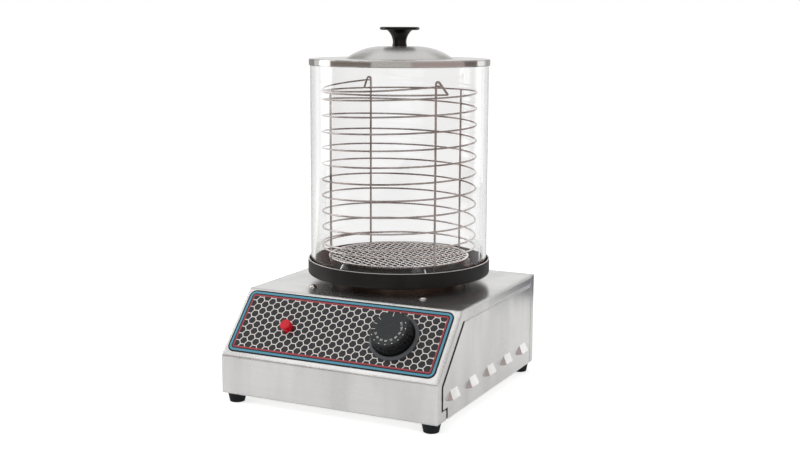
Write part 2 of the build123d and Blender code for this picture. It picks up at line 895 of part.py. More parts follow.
def lid_knob():
    """Turned handle: waisted stem below a flat round-edged disc."""
    neck_z = knob_height - knob_disc
    stem = ThreePointArc(
        (knob_foot_radius, 0),
        (knob_waist_radius, knob_waist_height),
        (knob_neck_radius, neck_z),
    )
    edge_r = knob_disc / 2
    rim = ThreePointArc(
        (knob_radius - edge_r, neck_z),
        (knob_radius, neck_z + edge_r),
        (knob_radius - edge_r, knob_height),
    )
    outline = Line((0, 0), stem @ 0) + stem + Line(stem @ 1, rim @ 0) + rim
    outline += Polyline(rim @ 1, (0, knob_height), (0, 0))
    knob = revolve(Plane.XZ * make_face(outline), Axis.Z)
    knob -= disc(lid_screw_radius, knob_bore_depth)
    return axis_place * Pos(0, 0, plateau_z) * knob


def lid_washer():
    z = plateau_z - lid_sheet - washer_thickness
    bore = lid_screw_radius + screw_clearance
    return axis_place * ring(washer_radius, bore, washer_thickness, z)


def lid_screw():
    length = knob_bore_depth + lid_sheet + washer_thickness - screw_end
    head = (lid_screw_head_radius, lid_screw_head_height)
    screw = pan_head_screw(lid_screw_radius, length, *head)
    z = plateau_z - lid_sheet - washer_thickness
    return axis_place * Pos(0, 0, z) * Rot(180, 0, 0) * screw


def grid_z():
    return floor_z + grid_height


def grid_rim():
    """Steel channel folded round the edge of the mesh."""
    inner = grid_radius - grid_rim_width
    rim = ring(grid_radius, inner, grid_rim_height, grid_z())
    rim = fillet(rim.edges().filter_by(GeomType.CIRCLE), grid_rim_edge)
    groove_z = grid_z() + (grid_rim_height - mesh_thickness) / 2
    return axis_place * (rim - ring(inner + mesh_seat, inner - 1, mesh_thickness, groove_z))


def grid_mesh():
    """Expanded metal disc: diamond openings in staggered rows."""
    edge = grid_radius - grid_rim_width + mesh_seat
    clear = grid_radius - grid_rim_width - strand
    cell = Polyline(
        ((cell_length - 2 * strand) / 2, 0),
        (0, (cell_width - strand) / 2),
        (-(cell_length - 2 * strand) / 2, 0),
        (0, -(cell_width - strand) / 2),
        close=True,
    )
    diamond = make_face(cell)
    rows = math.floor(clear / (cell_width / 2))
    holes = []
    for row in range(-rows, rows + 1):
        y = row * cell_width / 2
        offset = cell_length / 2 * (row % 2)
        columns = math.ceil(edge / cell_length)
        for column in range(-columns, columns + 1):
            x = column * cell_length + offset
            if math.hypot(x, y) < clear:
                holes.append(Pos(x, y) * diamond)
    blank = Circle(edge) - (Circle(clear) & (Sketch() + holes))
    z = grid_z() + (grid_rim_height - mesh_thickness) / 2
    mesh = Pos(0, 0, z) * Rot(0, 0, cell_bearing) * extrude(blank, mesh_thickness)
    return axis_place * mesh


def grid_legs():
    """Wire legs that splay out below the rim and then stand on the pan's floor."""
    top = (grid_leg_root, 0, grid_z())
    knee = (grid_foot_circle, 0, grid_z() - grid_leg_splay)
    foot = (grid_foot_circle, 0, floor_z)
    path = FilletPolyline(top, knee, foot, radius=grid_leg_bend)
    section = Plane(origin=path @ 1, z_dir=(0, 0, 1)) * Circle(grid_leg_radius)
    leg = sweep(section, path=path)
    trim = 8 * grid_leg_radius
    leg -= Pos(grid_leg_root, 0, grid_z()) * Box(trim, trim, trim, align=stand)
    pitch = 360 / grid_leg_count
    return [
        axis_place * Rot(0, 0, grid_leg_start + index * pitch) * leg
        for index in range(grid_leg_count)
    ]


def basket_coil():
    """Wire in sections of about half a turn, butted end to end: a level turn, the
    right-handed helix and a level last arc."""
    sections = []
    bearing = coil_start
    height = floor_z + coil_bottom
    climb = coil_top - coil_bottom
    for arc, rise in ((360, 0), (360 * coil_turns, climb), (coil_last_arc, 0)):
        count = round(arc / coil_section)
        section = coil_wire_along(arc / count, rise / count)
        for _ in range(count):
            sections.append(axis_place * Pos(0, 0, height) * Rot(0, 0, bearing) * section)
            bearing += arc / count
            height += rise / count
    return sections


def coil_wire_along(arc, rise):
    """Wire round the basket's axis over one arc, with both ends cut upright."""
    path = CenterArc((0, 0, 0), coil_radius, 0, arc)
    if rise:
        path = Helix(360 * rise / arc, rise, coil_radius)
    return sweep(Plane(origin=path @ 0, z_dir=(0, 1, 0)) * Circle(coil_wire), path=path)


def bearing_point(radius, bearing, z):
    angle = math.radians(bearing)
    return (radius * math.cos(angle), radius * math.sin(angle), z)


def plain_rods():
    rod = Cylinder(rod_radius, coil_top, align=stand)
    return [
        axis_place * Pos(*bearing_point(rod_circle, bearing, floor_z)) * rod
        for bearing in plain_rod_bearings
    ]


def looped_rods():
    """Rods that rise above the top ring and loop back down onto it."""
    rods = []
    for bearing, turn, peak in zip(loop_rod_bearings, loop_foot_turns, loop_peaks):
        foot = bearing_point(rod_circle, bearing, floor_z)
        top = bearing_point(rod_circle, bearing, ring_top_z + peak)
        end = bearing_point(rod_circle, bearing + turn, ring_top_z)
        path = FilletPolyline(foot, top, end, radius=loop_bend)
        section = Plane(origin=path @ 0, z_dir=(0, 0, 1)) * Circle(rod_radius)
        rods.append(axis_place * sweep(section, path=path))
    return rods


def bail_ends():
    """Where the bail passes through the two loops."""
    z = ring_top_z + bail_pivot_height
    ends = []
    for bearing, offset in zip(loop_rod_bearings, bail_pivot_offsets):
        turn = math.degrees(offset / rod_circle)
        ends.append(Vector(*bearing_point(rod_circle, bearing + turn, z)))
    return ends


def basket_bail():
    """Half-round wire handle, folded down onto the top ring."""
    right, left = bail_ends()
    along = (right - left).normalized()
    middle = (right + left) / 2
    drop = bail_pivot_height - coil_wire - bail_wire - bail_rest_gap
    tilt = math.degrees(math.asin(drop / bail_radius))
    inner = bail_radius - bail_tail
    bend_x = math.sqrt((bail_radius - bail_bend) ** 2 - bail_bend**2)
    lean = math.degrees(math.atan2(bail_bend, bend_x))
    wire = Line((inner, 0), (bend_x, 0))
    wire += CenterArc((bend_x, bail_bend), bail_bend, -90, 90 + lean)
    wire += CenterArc((0, 0), bail_radius, lean, 180 - 2 * lean)
    wire += CenterArc((-bend_x, bail_bend), bail_bend, 180 - lean, 90 + lean)
    wire += Line((-bend_x, 0), (-inner, 0))
    section = Plane(origin=wire @ 0, z_dir=wire % 0) * Circle(bail_wire)
    bail = sweep(section, path=wire)
    level = Plane(origin=middle, x_dir=along * -1, z_dir=(0, 0, 1))
    return axis_place * level.location * Rot(-tilt, 0, 0) * bail


def main():
    singles = {
        "housing_cover": housing_cover,
        "louvred_tray": louvred_tray,
        "back_panel": back_panel,
        "panel_overlay": panel_overlay,
        "dial_bezel": dial_bezel,
        "dial_knob": dial_knob,
        "thermostat_spindle": thermostat_spindle,
        "thermostat_body": thermostat_body,
        "lamp_lens": lamp_lens,
        "lamp_body": lamp_body,
        "lamp_nut": lamp_nut,
        "water_pan": water_pan,
        "heater_shroud": heater_shroud,
        "heater_plate": heater_plate,
        "heating_element": heating_element,
        "insulating_board": insulating_board,
        "sensing_bulb": sensing_bulb,
        "capillary_tube": capillary_tube,
        "pan_stud": pan_stud,
        "clamp_bar": clamp_bar,
        "stud_nut": stud_nut,
        "cord_gland": cord_gland,
        "gland_nut": gland_nut,
        "terminal_block": terminal_block,
        "glass_cylinder": glass_cylinder,
        "lid_shell": lid_shell,
        "lid_knob": lid_knob,
        "lid_washer": lid_washer,
        "lid_screw": lid_screw,
        "grid_rim": grid_rim,
        "grid_mesh": grid_mesh,
        "basket_bail": basket_bail,
    }
    groups = {
        "rubber_feet": [place * rubber_foot() for place in foot_places()],
        "foot_screws": [place * foot_screw() for place in foot_places()],
        "foot_nuts": [
            place * nut(nut_width, nut_height, screw_radius, bottom_z + sheet)
            for place in foot_places()
        ],
        "thermostat_screws": thermostat_screws(),
        "lamp_blades": lamp_blades(),
        "support_rails": support_rails(),
        "dome_screws": dome_screws(),
        "dome_nuts": dome_nuts(),
        "terminal_screws": terminal_screws(),
        "back_screws": back_screws(),
        "grid_legs": grid_legs(),
        "basket_coil": basket_coil(),
        "plain_rods": plain_rods(),
        "looped_rods": looped_rods(),
    }
    os.makedirs("parts", exist_ok=True)
    for name, make in singles.items():
        export_step(make(), f"parts/{name}.step")
    for name, solids in groups.items():
        export_step(Compound(children=solids), f"parts/{name}.step")


main()
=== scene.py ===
import math
import bmesh
import bpy
from mathutils import Matrix, Vector


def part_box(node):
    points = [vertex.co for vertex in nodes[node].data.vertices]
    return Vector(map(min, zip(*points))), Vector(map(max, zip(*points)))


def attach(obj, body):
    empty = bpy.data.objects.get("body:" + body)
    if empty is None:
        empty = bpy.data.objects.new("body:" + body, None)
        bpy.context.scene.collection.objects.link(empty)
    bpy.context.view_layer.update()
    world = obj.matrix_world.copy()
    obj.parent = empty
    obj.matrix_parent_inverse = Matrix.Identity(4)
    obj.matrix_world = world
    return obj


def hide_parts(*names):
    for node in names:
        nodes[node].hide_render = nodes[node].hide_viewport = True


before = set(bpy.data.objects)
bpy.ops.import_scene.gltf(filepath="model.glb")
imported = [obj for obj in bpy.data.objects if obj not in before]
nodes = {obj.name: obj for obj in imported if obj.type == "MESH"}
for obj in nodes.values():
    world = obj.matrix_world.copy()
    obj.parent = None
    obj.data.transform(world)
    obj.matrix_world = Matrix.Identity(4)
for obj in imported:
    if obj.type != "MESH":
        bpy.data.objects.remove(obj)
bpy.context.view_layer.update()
mm = 0.001

panLow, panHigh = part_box("water_pan")
coverLow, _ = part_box("housing_cover")
axisY = (panLow.y + panHigh.y) / 2    # the pan, the glass and the lid share this axis
onAxis = (0, axisY, 0)

# the sloping sheet of the cover, and where the lamp sits on it
slope = {"rise": 63.3, "run": 59.8, "foldHeight": 42.2, "lampAcross": -62.0, "lampUp": 42.5}
slopeTilt = math.atan2(slope["rise"], slope["run"])
slopeCos, slopeSin = math.cos(slopeTilt), math.sin(slopeTilt)
slopeOut = Vector((0, -slopeSin, slopeCos))
foldPoint = Vector((0, coverLow.y, coverLow.z + slope["foldHeight"] * mm))
lampUp = slope["lampUp"]
lampPlace = foldPoint + Vector((slope["lampAcross"], lampUp * slopeCos, lampUp * slopeSin)) * mm


def plug(socket, value):
    if isinstance(value, bpy.types.NodeSocket):
        socket.id_data.links.new(value, socket)
    else:
        socket.default_value = value


def feed(node, feeds):
    for key, value in feeds.items():
        plug(node.inputs[key], value)


def addNode(tree, kind, feeds=None, **settings):
    node = tree.nodes.new(kind)
    for name, value in settings.items():
        setattr(node, name, value)
    feed(node, feeds or {})
    return node


def treeOf(*values):
    # the tree that the linked ones among these values belong to
    return next(value for value in values if isinstance(value, bpy.types.NodeSocket)).id_data


def calc(operation, *values):
    feeds = dict(enumerate(values))
    return addNode(treeOf(*values), "ShaderNodeMath", feeds, operation=operation).outputs[0]


def product(first, *others):
    for value in others:
        first = calc("MULTIPLY", first, value)
    return first


def vectorCalc(operation, first, second=(0, 0, 0)):
    node = addNode(treeOf(first, second), "ShaderNodeVectorMath", {0: first, 1: second}, operation=operation)
    return node.outputs["Value" if operation in ("DOT_PRODUCT", "LENGTH") else "Vector"]


def joined(x, y, z):
    return addNode(treeOf(x, y, z), "ShaderNodeCombineXYZ", {0: x, 1: y, 2: z}).outputs[0]


def split(vector):
    return addNode(treeOf(vector), "ShaderNodeSeparateXYZ", {0: vector}).outputs


def hypotenuse(x, y):
    return calc("SQRT", calc("ADD", calc("POWER", x, 2.0), calc("POWER", y, 2.0)))


noiseSpan = (0.3, 0.7)    # most of a noise lies between these


def noise(where, scale, detail=2.0, distortion=0.0):
    feeds = {"Vector": where, "Scale": scale, "Detail": detail, "Distortion": distortion}
    return addNode(treeOf(where), "ShaderNodeTexNoise", feeds).outputs["Fac"]


def between(value, low, high, toLow=0.0, toHigh=1.0):
    ends = {"From Min": low, "From Max": high, "To Min": toLow, "To Max": toHigh}
    node = addNode(treeOf(value), "ShaderNodeMapRange", {"Value": value, **ends})
    node.clamp = True
    return node.outputs["Result"]


def blendColour(factor, first, second):
    feeds = {0: factor, 6: first, 7: second}
    return addNode(treeOf(factor), "ShaderNodeMix", feeds, data_type="RGBA").outputs[2]


def newGroup(name, kind, takes, gives):
    tree = bpy.data.node_groups.new(name, kind)
    for label, socketType, start in takes:
        socket = tree.interface.new_socket(label, in_out="INPUT", socket_type="NodeSocket" + socketType)
        if start is not None:
            socket.default_value = start
    for label, socketType in gives:
        tree.interface.new_socket(label, in_out="OUTPUT", socket_type="NodeSocket" + socketType)
    entry = tree.nodes.new("NodeGroupInput")
    leave = tree.nodes.new("NodeGroupOutput")
    return tree, entry.outputs, leave.inputs


def filled(group, where, **feeds):
    # a shared effect, at this place if it takes one
    node = addNode(treeOf(where), "ShaderNodeGroup", node_tree=group)
    if "Vector" in node.inputs:
        plug(node.inputs["Vector"], where)
    feed(node, feeds)
    return node.outputs


def newEffect(name, takes, gives):
    return newGroup(name, "ShaderNodeTree", takes, gives)


def makeGrain():
    # fine parallel scratches: the vector is stretched so that the noise runs out into lines
    takes = [("Vector", "Vector", None), ("Stretch", "Vector", (30, 2600, 2600)), ("Seed", "Float", 0.0)]
    tree, takes, gives = newEffect("brushedGrain", takes, [("Lines", "Float"), ("Streaks", "Float")])
    stretched = vectorCalc("MULTIPLY", takes["Vector"], takes["Stretch"])
    for label, scale, detail, rough in (("Lines", 1.0, 3.0, 0.6), ("Streaks", 0.11, 2.0, 0.5)):
        feeds = {"Vector": stretched, "W": takes["Seed"], "Scale": scale, "Detail": detail}
        lines = addNode(tree, "ShaderNodeTexNoise", {**feeds, "Roughness": rough}, noise_dimensions="4D")
        plug(gives[label], lines.outputs["Fac"])
    return tree


def makeSoftEdge():
    # rounds the look of sharp folds and finds the edges, where the finishes paint a brighter tone: rubbed
    # wear and a painted highlight
    takes = [("Radius", "Float", 0.0006)]
    tree, takes, gives = newEffect("softEdge", takes, [("Normal", "Vector"), ("Edge", "Float")])
    rounded = addNode(tree, "ShaderNodeBevel", {"Radius": takes["Radius"]}, samples=4).outputs[0]
    flat = addNode(tree, "ShaderNodeNewGeometry").outputs["Normal"]
    plug(gives["Normal"], rounded)
    straight, turnedAway = 0.995, 0.8
    plug(gives["Edge"], between(vectorCalc("DOT_PRODUCT", rounded, flat), straight, turnedAway))
    return tree


def makeSmudge():
    # greasy marks and wiped patches left by cleaning
    takes = [("Vector", "Vector", None), ("Size", "Float", 28.0)]
    tree, takes, gives = newEffect("wipedMarks", takes, [("Marks", "Float"), ("Specks", "Float")])
    cloudSpan, speckSpan = (0.38, 0.72), (0.12, 0.04)
    cloud = noise(takes["Vector"], takes["Size"], 5.0, 0.6)
    fineSize = product(takes["Size"], 12.0)
    specks = addNode(tree, "ShaderNodeTexVoronoi", {"Vector": takes["Vector"], "Scale": fineSize})
    plug(gives["Marks"], between(cloud, *cloudSpan))
    plug(gives["Specks"], between(specks.outputs["Distance"], *speckSpan))
    return tree


def makeRings():
    # turned or spun surface: noise over the distance from the axis and the height
    takes = [("Vector", "Vector", None), ("Pitch", "Float", 0.0004)]
    gives = [("Rings", "Float"), ("Bands", "Float"), ("Radius", "Float")]
    tree, takes, gives = newEffect("spunRings", takes, gives)
    x, y, z = split(takes["Vector"])
    radius = hypotenuse(x, y)
    along = calc("DIVIDE", calc("ADD", radius, z), takes["Pitch"])
    for label, scale in (("Rings", 1.0), ("Bands", 0.06)):
        feeds = {"W": along, "Scale": scale, "Detail": 2.0}
        plug(gives[label], addNode(tree, "ShaderNodeTexNoise", feeds, noise_dimensions="1D").outputs["Fac"])
    plug(gives["Radius"], radius)
    return tree


def makeDust():
    # pale dust that settles on what faces up
    takes = [("Vector", "Vector", None), ("Amount", "Float", 0.3)]
    tree, takes, gives = newEffect("settledDust", takes, [("Dust", "Float")])
    up = split(addNode(tree, "ShaderNodeNewGeometry").outputs["Normal"])[2]
    upSpan, patchSpan = (0.3, 1.0), (0.42, 0.7)
    patchy = between(noise(takes["Vector"], 160.0, 6.0), *patchSpan)
    plug(gives["Dust"], product(between(up, *upSpan), patchy, takes["Amount"]))
    return tree


brushedGrain = makeGrain()
softEdge = makeSoftEdge()
wipedMarks = makeSmudge()
spunRings = makeRings()
settledDust = makeDust()
print("surface effects ready")


def newFinish(name, centre=(0, 0, 0)):
    finish = bpy.data.materials.new(name)
    finish.use_nodes = True
    tree = finish.node_tree
    spot = addNode(tree, "ShaderNodeTexCoord").outputs["Object"]
    place = addNode(tree, "ShaderNodeMapping", {"Vector": spot, "Location": [-c for c in centre]})
    return finish, tree.nodes["Principled BSDF"], place.outputs[0]


def bump(shader, height, distance, normal=None, strength=1.0):
    feeds = {"Height": height, "Distance": distance, "Strength": strength}
    node = addNode(shader.id_data, "ShaderNodeBump", feeds)
    if normal is not None:
        plug(node.inputs["Normal"], normal)
    plug(shader.inputs["Normal"], node.outputs[0])


def twoTone(shader, mask, tones, rough, metal=0.0, span=(0, 1)):
    # colour and roughness that both follow one mask
    feed(shader, {"Base Color": blendColour(mask, *tones),
                  "Roughness": between(mask, *span, *rough), "Metallic": metal})


def shaded(colour, share):
    return [c * share for c in colour[:3]] + [1]


sheetSteel = {
    "tone": (0.65, 0.645, 0.635, 1), "wornAndHighlit": (0.80, 0.795, 0.785, 1), "rough": (0.15, 0.22),
    "scratch": 0.0000015, "fold": 0.0007, "streaked": 0.955,
    "cloud": (26.0, 26.0, 7.0), "cloudSpan": (0.42, 0.64), "clouded": 0.885,    # broad upright patches
    "markSize": 14.0, "markRough": 0.05,
}


def makeSheetSteel(name, stretch, seed, fold=sheetSteel["fold"], metal=1.0):
    look = sheetSteel
    finish, shader, where = newFinish(name)
    grain = filled(brushedGrain, where, Stretch=stretch, Seed=seed)
    edge = filled(softEdge, where, Radius=fold)
    marks = filled(wipedMarks, where, Size=look["markSize"])
    streaks = between(grain["Streaks"], *noiseSpan)
    body = blendColour(streaks, shaded(look["tone"], look["streaked"]), look["tone"])
    cloud = between(noise(vectorCalc("MULTIPLY", where, look["cloud"]), 1.0, 3.0), *look["cloudSpan"])
    body = blendColour(cloud, body, shaded(look["tone"], look["clouded"]))
    matt = between(grain["Lines"], *noiseSpan, *look["rough"])
    for mask in (marks["Marks"], cloud):
        matt = calc("ADD", matt, product(mask, look["markRough"]))
    # folds and edges get a brighter tone: rubbed wear and a painted highlight along the folds
    wornAndHighlit = blendColour(edge["Edge"], body, look["wornAndHighlit"])
    feed(shader, {"Base Color": wornAndHighlit, "Roughness": matt, "Metallic": metal})
    bump(shader, grain["Lines"], look["scratch"], edge["Normal"])
    return finish


spunSteel = {
    "tone": (0.60, 0.59, 0.575, 1), "dull": (0.52, 0.505, 0.49, 1), "rough": (0.24, 0.32),
    "pitch": 0.0005, "ring": 0.000008, "fold": 0.0024, "across": 0.8, "markSize": 22.0, "markShare": 0.3,
    "dullSpan": (0.35, 0.65), "bandFrom": 0.1, "bandPolish": 0.14,    # the turned-down edge is polished
}


def makeSpunSteel():
    look = spunSteel
    finish, shader, where = newFinish("spunSteel", onAxis)
    rings = filled(spunRings, where, Pitch=look["pitch"])
    marks = filled(wipedMarks, where, Size=look["markSize"])
    tone = blendColour(between(rings["Bands"], *look["dullSpan"]), look["dull"], look["tone"])
    marked = product(marks["Marks"], look["markShare"])
    band = calc("GREATER_THAN", rings["Radius"], look["bandFrom"])
    matt = between(rings["Rings"], *noiseSpan, *look["rough"])
    around = vectorCalc("CROSS_PRODUCT", (0, 0, 1), where)
    normal = addNode(shader.id_data, "ShaderNodeNewGeometry").outputs["Normal"]
    feed(shader, {
        "Base Color": blendColour(marked, tone, look["dull"]),
        "Roughness": calc("SUBTRACT", matt, product(band, look["bandPolish"])),
        "Metallic": 1.0, "Anisotropic": look["across"],
        "Tangent": vectorCalc("CROSS_PRODUCT", around, normal)})
    edge = filled(softEdge, where, Radius=look["fold"])
    bump(shader, rings["Rings"], look["ring"], edge["Normal"])
    return finish


hotSteel = {
    "stops": ((0.0, (0.20, 0.17, 0.145, 1)), (0.3, (0.09, 0.065, 0.05, 1)),
              (0.65, (0.04, 0.029, 0.026, 1)), (1.0, (0.025, 0.022, 0.025, 1))),
    "marks": 0.7, "bands": 0.3, "rough": (0.22, 0.42), "pitch": 0.0009, "ring": 0.000008, "markSize": 18.0,
}


def makeTintedSteel():
    # steel that has been hot: browns that change round the rings and from place to place
    look = hotSteel
    finish, shader, where = newFinish("heatTintedSteel", onAxis)
    rings = filled(spunRings, where, Pitch=look["pitch"])
    marks = filled(wipedMarks, where, Size=look["markSize"])
    patchy, banded = (product(mask, look[share])
                      for mask, share in ((marks["Marks"], "marks"), (rings["Bands"], "bands")))
    ramp = addNode(shader.id_data, "ShaderNodeValToRGB", {"Fac": calc("ADD", patchy, banded)})
    while len(ramp.color_ramp.elements) < len(look["stops"]):
        ramp.color_ramp.elements.new(0.5)
    for element, (position, colour) in zip(ramp.color_ramp.elements, look["stops"]):
        element.position = position
        element.color = colour
    matt = between(marks["Marks"], 0, 1, *look["rough"])
    feed(shader, {"Base Color": ramp.outputs[0], "Roughness": matt, "Metallic": 1.0})
    bump(shader, rings["Rings"], look["ring"])
    return finish


brightWire = {
    "rough": (0.16, 0.32), "darkerAbove": (0.13, 0.235), "patches": (0.55, 1.0), "markSize": 30.0,
    "drawn": (900.0, 3.0), "drawnDepth": 0.00002,
}


def makeWire(name, footTone, upperTone, upperShare):
    # lighter at the foot, darker and browner higher up
    look = brightWire
    finish, shader, where = newFinish(name, onAxis)
    marks = filled(wipedMarks, where, Size=look["markSize"])
    drawn = noise(where, *look["drawn"])
    higher = between(split(where)[2], *look["darkerAbove"])
    patchy = between(marks["Marks"], 0, 1, *look["patches"])
    tone = blendColour(product(higher, patchy, upperShare), footTone, upperTone)
    matt = between(drawn, *noiseSpan, *look["rough"])
    feed(shader, {"Base Color": tone, "Roughness": matt, "Metallic": 1.0})
    bump(shader, drawn, look["drawnDepth"])
    return finish


# the mask is either wiped marks of a size or noise of a scale, detail and distortion
plainLooks = {
    "turnedSteel": {"marks": 120.0, "tones": ((0.66, 0.65, 0.63, 1), (0.5, 0.49, 0.47, 1)),
                    "rough": (0.2, 0.34), "metal": 1.0, "relief": 0.00001, "fold": 0.0002},
    "castMetal": {"noise": (700.0, 6.0), "tones": ((0.5, 0.5, 0.51, 1), (0.7, 0.7, 0.71, 1)),
                  "rough": (0.4, 0.65), "metal": 1.0, "relief": 0.0002},
    "drawnCopper": {"marks": 90.0, "tones": ((0.75, 0.42, 0.27, 1), (0.35, 0.19, 0.13, 1)),
                    "rough": (0.22, 0.45), "metal": 1.0, "relief": 0.00002},
    "glazedCeramic": {"marks": 50.0, "tones": ((0.8, 0.79, 0.75, 1), (0.7, 0.68, 0.63, 1)),
                      "rough": (0.18, 0.35), "metal": 0.0, "relief": 0.00003},
    "mineralBoard": {"noise": (420.0, 8.0, 1.5), "tones": ((0.42, 0.38, 0.31, 1), (0.68, 0.64, 0.56, 1)),
                     "rough": (0.7, 0.95), "metal": 0.0, "relief": 0.0003},
    "dialInk": {"noise": (900.0, 4.0), "tones": ((0.72, 0.71, 0.69, 1), (0.86, 0.85, 0.83, 1)),
                "rough": (0.35, 0.5), "metal": 0.0, "relief": 0.00001},
}


def makePlain(name):
    look = plainLooks[name]
    finish, shader, where = newFinish(name)
    if "marks" in look:
        marks = filled(wipedMarks, where, Size=look["marks"])
        mask, relief, span = marks["Marks"], marks["Specks"], (0, 1)
    else:
        mask = relief = noise(where, *look["noise"])
        span = noiseSpan
    twoTone(shader, mask, look["tones"], look["rough"], look["metal"], span)
    if "fold" in look:    # small turned parts have soft edges and no specks
        bump(shader, mask, look["relief"], filled(softEdge, where, Radius=look["fold"])["Normal"])
    else:
        bump(shader, relief, look["relief"])
    return finish


panCoat = {
    "black": (0.008, 0.007, 0.0065, 1), "grey": (0.014, 0.0125, 0.012, 1), "dust": (0.3, 0.29, 0.27, 1),
    # scale is the tone of the reddish patches inside the pan
    "scale": (0.13, 0.030, 0.018, 1), "wornAndHighlit": (0.16, 0.15, 0.13, 1), "rim": (0.70, 0.68, 0.65, 1),
    "satin": (0.34, 0.46), "innerRough": 0.36, "shine": 0.55, "index": 1.3, "rimMetal": 0.9,
    "pitch": 0.0007, "markSize": 35.0, "dustShare": 0.03, "fold": 0.0005, "relief": 0.00002,
    # millimetres for the wall and the lip; metres for where the reddish patches lie
    "wall": 1.45, "lip": (0.45, 0.15), "reddishFrom": 0.084, "reddishSide": (0.03, 0.06), "reddishSlant": 0.25,
    "reddishSize": 16.0, "reddishSpan": (0.3, 0.55),
}


def makePanCoat():
    # black, satin outside; reddish patches inside, on two sides towards the wall; bare metal along the rim
    look = panCoat
    finish, shader, where = newFinish("panCoat", onAxis)
    rings = filled(spunRings, where, Pitch=look["pitch"])
    marks = filled(wipedMarks, where, Size=look["markSize"])
    dust = filled(settledDust, where, Amount=look["dustShare"])
    edge = filled(softEdge, where, Radius=look["fold"])
    x, y, z = split(where)
    inner = calc("LESS_THAN", rings["Radius"], panHigh.x - look["wall"] * mm)
    outward = calc("GREATER_THAN", rings["Radius"], look["reddishFrom"])
    slanted = calc("ADD", x, product(y, look["reddishSlant"]))
    side = between(calc("ABSOLUTE", slanted), *look["reddishSide"])
    reddishPatch = product(inner, outward, side, between(noise(where, look["reddishSize"]), *look["reddishSpan"]))
    lip = between(z, *(panHigh.z - down * mm for down in look["lip"]))
    body = blendColour(marks["Marks"], look["black"], look["grey"])
    # reddish patches, dust, a brighter edge tone (rubbed wear and a painted highlight), bare metal at the lip
    for mask, tone in ((reddishPatch, "scale"), (dust["Dust"], "dust"), (edge["Edge"], "wornAndHighlit"), (lip, "rim")):
        body = blendColour(mask, body, look[tone])
    satin = between(marks["Marks"], 0, 1, *look["satin"])
    feed(shader, {
        "Base Color": body, "Metallic": product(lip, look["rimMetal"]),
        "Roughness": calc("ADD", satin, product(inner, look["innerRough"])),
        "Specular IOR Level": look["shine"], "IOR": look["index"]})
    bump(shader, calc("ADD", rings["Rings"], marks["Specks"]), look["relief"])
    return finish


blackPlastic = {
    "rubbedAndHighlit": (0.22, 0.22, 0.23, 1), "dust": (0.34, 0.33, 0.32, 1), "marked": 1.6, "faceFrom": 0.97,
    "markSize": 60.0, "markRough": 0.1, "fold": 0.0004, "skin": 2200.0,
}


def makeBlackPlastic(name, colour, rough, dustAmount, shine=0.2, grain=0.00003, rim=0.35, face=None):
    look = blackPlastic
    finish, shader, where = newFinish(name)
    marks = filled(wipedMarks, where, Size=look["markSize"])["Marks"]
    dust = filled(settledDust, where, Amount=dustAmount)["Dust"]
    edge = filled(softEdge, where, Radius=look["fold"])
    body = blendColour(marks, colour, shaded(colour, look["marked"]))
    if face:    # the printed face has its own tone
        normal = addNode(shader.id_data, "ShaderNodeTexCoord").outputs["Normal"]
        facing = vectorCalc("DOT_PRODUCT", normal, slopeOut)
        body = blendColour(calc("GREATER_THAN", facing, look["faceFrom"]), body, face)
    # brighter along the edges, by the share rim: rubbed wear and a painted highlight
    body = blendColour(product(edge["Edge"], rim), body, look["rubbedAndHighlit"])
    feed(shader, {
        "Base Color": blendColour(dust, body, look["dust"]), "Specular IOR Level": shine,
        "Roughness": between(marks, 0, 1, rough, rough + look["markRough"])})
    bump(shader, noise(where, look["skin"]), grain, edge["Normal"])
    return finish


footRubber = {
    "tones": ((0.006, 0.0075, 0.009, 1), (0.012, 0.015, 0.018, 1)), "dust": (0.2, 0.19, 0.18, 1),
    "rough": (0.5, 0.8), "dustShare": 0.5, "skin": (900.0, 5.0), "skinSpan": (0.4, 0.7), "shine": 0.2,
    "relief": 0.0001,
}


def makeRubber():
    look = footRubber
    finish, shader, where = newFinish("footRubber")
    dust = filled(settledDust, where, Amount=look["dustShare"])["Dust"]
    skin = noise(where, *look["skin"])
    body = blendColour(between(skin, *look["skinSpan"]), *look["tones"])
    feed(shader, {
        "Base Color": blendColour(dust, body, look["dust"]), "Specular IOR Level": look["shine"],
        "Roughness": between(skin, *noiseSpan, *look["rough"])})
    bump(shader, skin, look["relief"])
    return finish


lensLook = {
    "red": ((0.62, 0.002, 0.012, 1), (0.78, 0.006, 0.022, 1)), "rough": (0.08, 0.16), "flutes": 260.0,
    "paintedGlow": ((0.35, 0.0, 0.01, 1), (0.5, 0.0, 0.02, 1)), "paintedGlowStrength": 0.06, "shine": 0.35,
    "fold": 0.0005, "fluteDepth": 0.00005, "fluteShare": 0.5,
}


def makeLens():
    # clear red moulding with fine flutes inside; the faint glow is a painted glow, emission standing in for
    # daylight caught in the moulding
    look = lensLook
    finish, shader, where = newFinish("redLens", lampPlace)
    across = {"Vector": where, "Scale": look["flutes"], "Distortion": 0.0}
    waves = addNode(shader.id_data, "ShaderNodeTexWave", across, wave_type="BANDS", bands_direction="X")
    flutes = waves.outputs["Fac"]
    twoTone(shader, flutes, look["red"], look["rough"])
    feed(shader, {"Emission Color": blendColour(flutes, *look["paintedGlow"]),
                  "Emission Strength": look["paintedGlowStrength"], "Specular IOR Level": look["shine"]})
    edge = filled(softEdge, where, Radius=look["fold"])
    bump(shader, flutes, look["fluteDepth"], edge["Normal"], look["fluteShare"])
    return finish


glassLook = {
    "tones": ((1.0, 1.0, 1.0, 1), (0.98, 0.985, 0.982, 1)), "rough": (0.0, 0.004), "index": 1.47,
    "shadow": 0.12, "markSize": 20.0,
}


def makeGlass():
    look = glassLook
    finish, shader, where = newFinish("clearGlass", onAxis)
    marks = filled(wipedMarks, where, Size=look["markSize"])["Marks"]
    twoTone(shader, marks, look["tones"], look["rough"])
    passing = addNode(shader.id_data, "ShaderNodeLightPath").outputs["Is Shadow Ray"]
    feed(shader, {"Transmission Weight": 1.0, "IOR": look["index"],
                  "Alpha": between(passing, 0, 1, 1.0, look["shadow"])})
    return finish


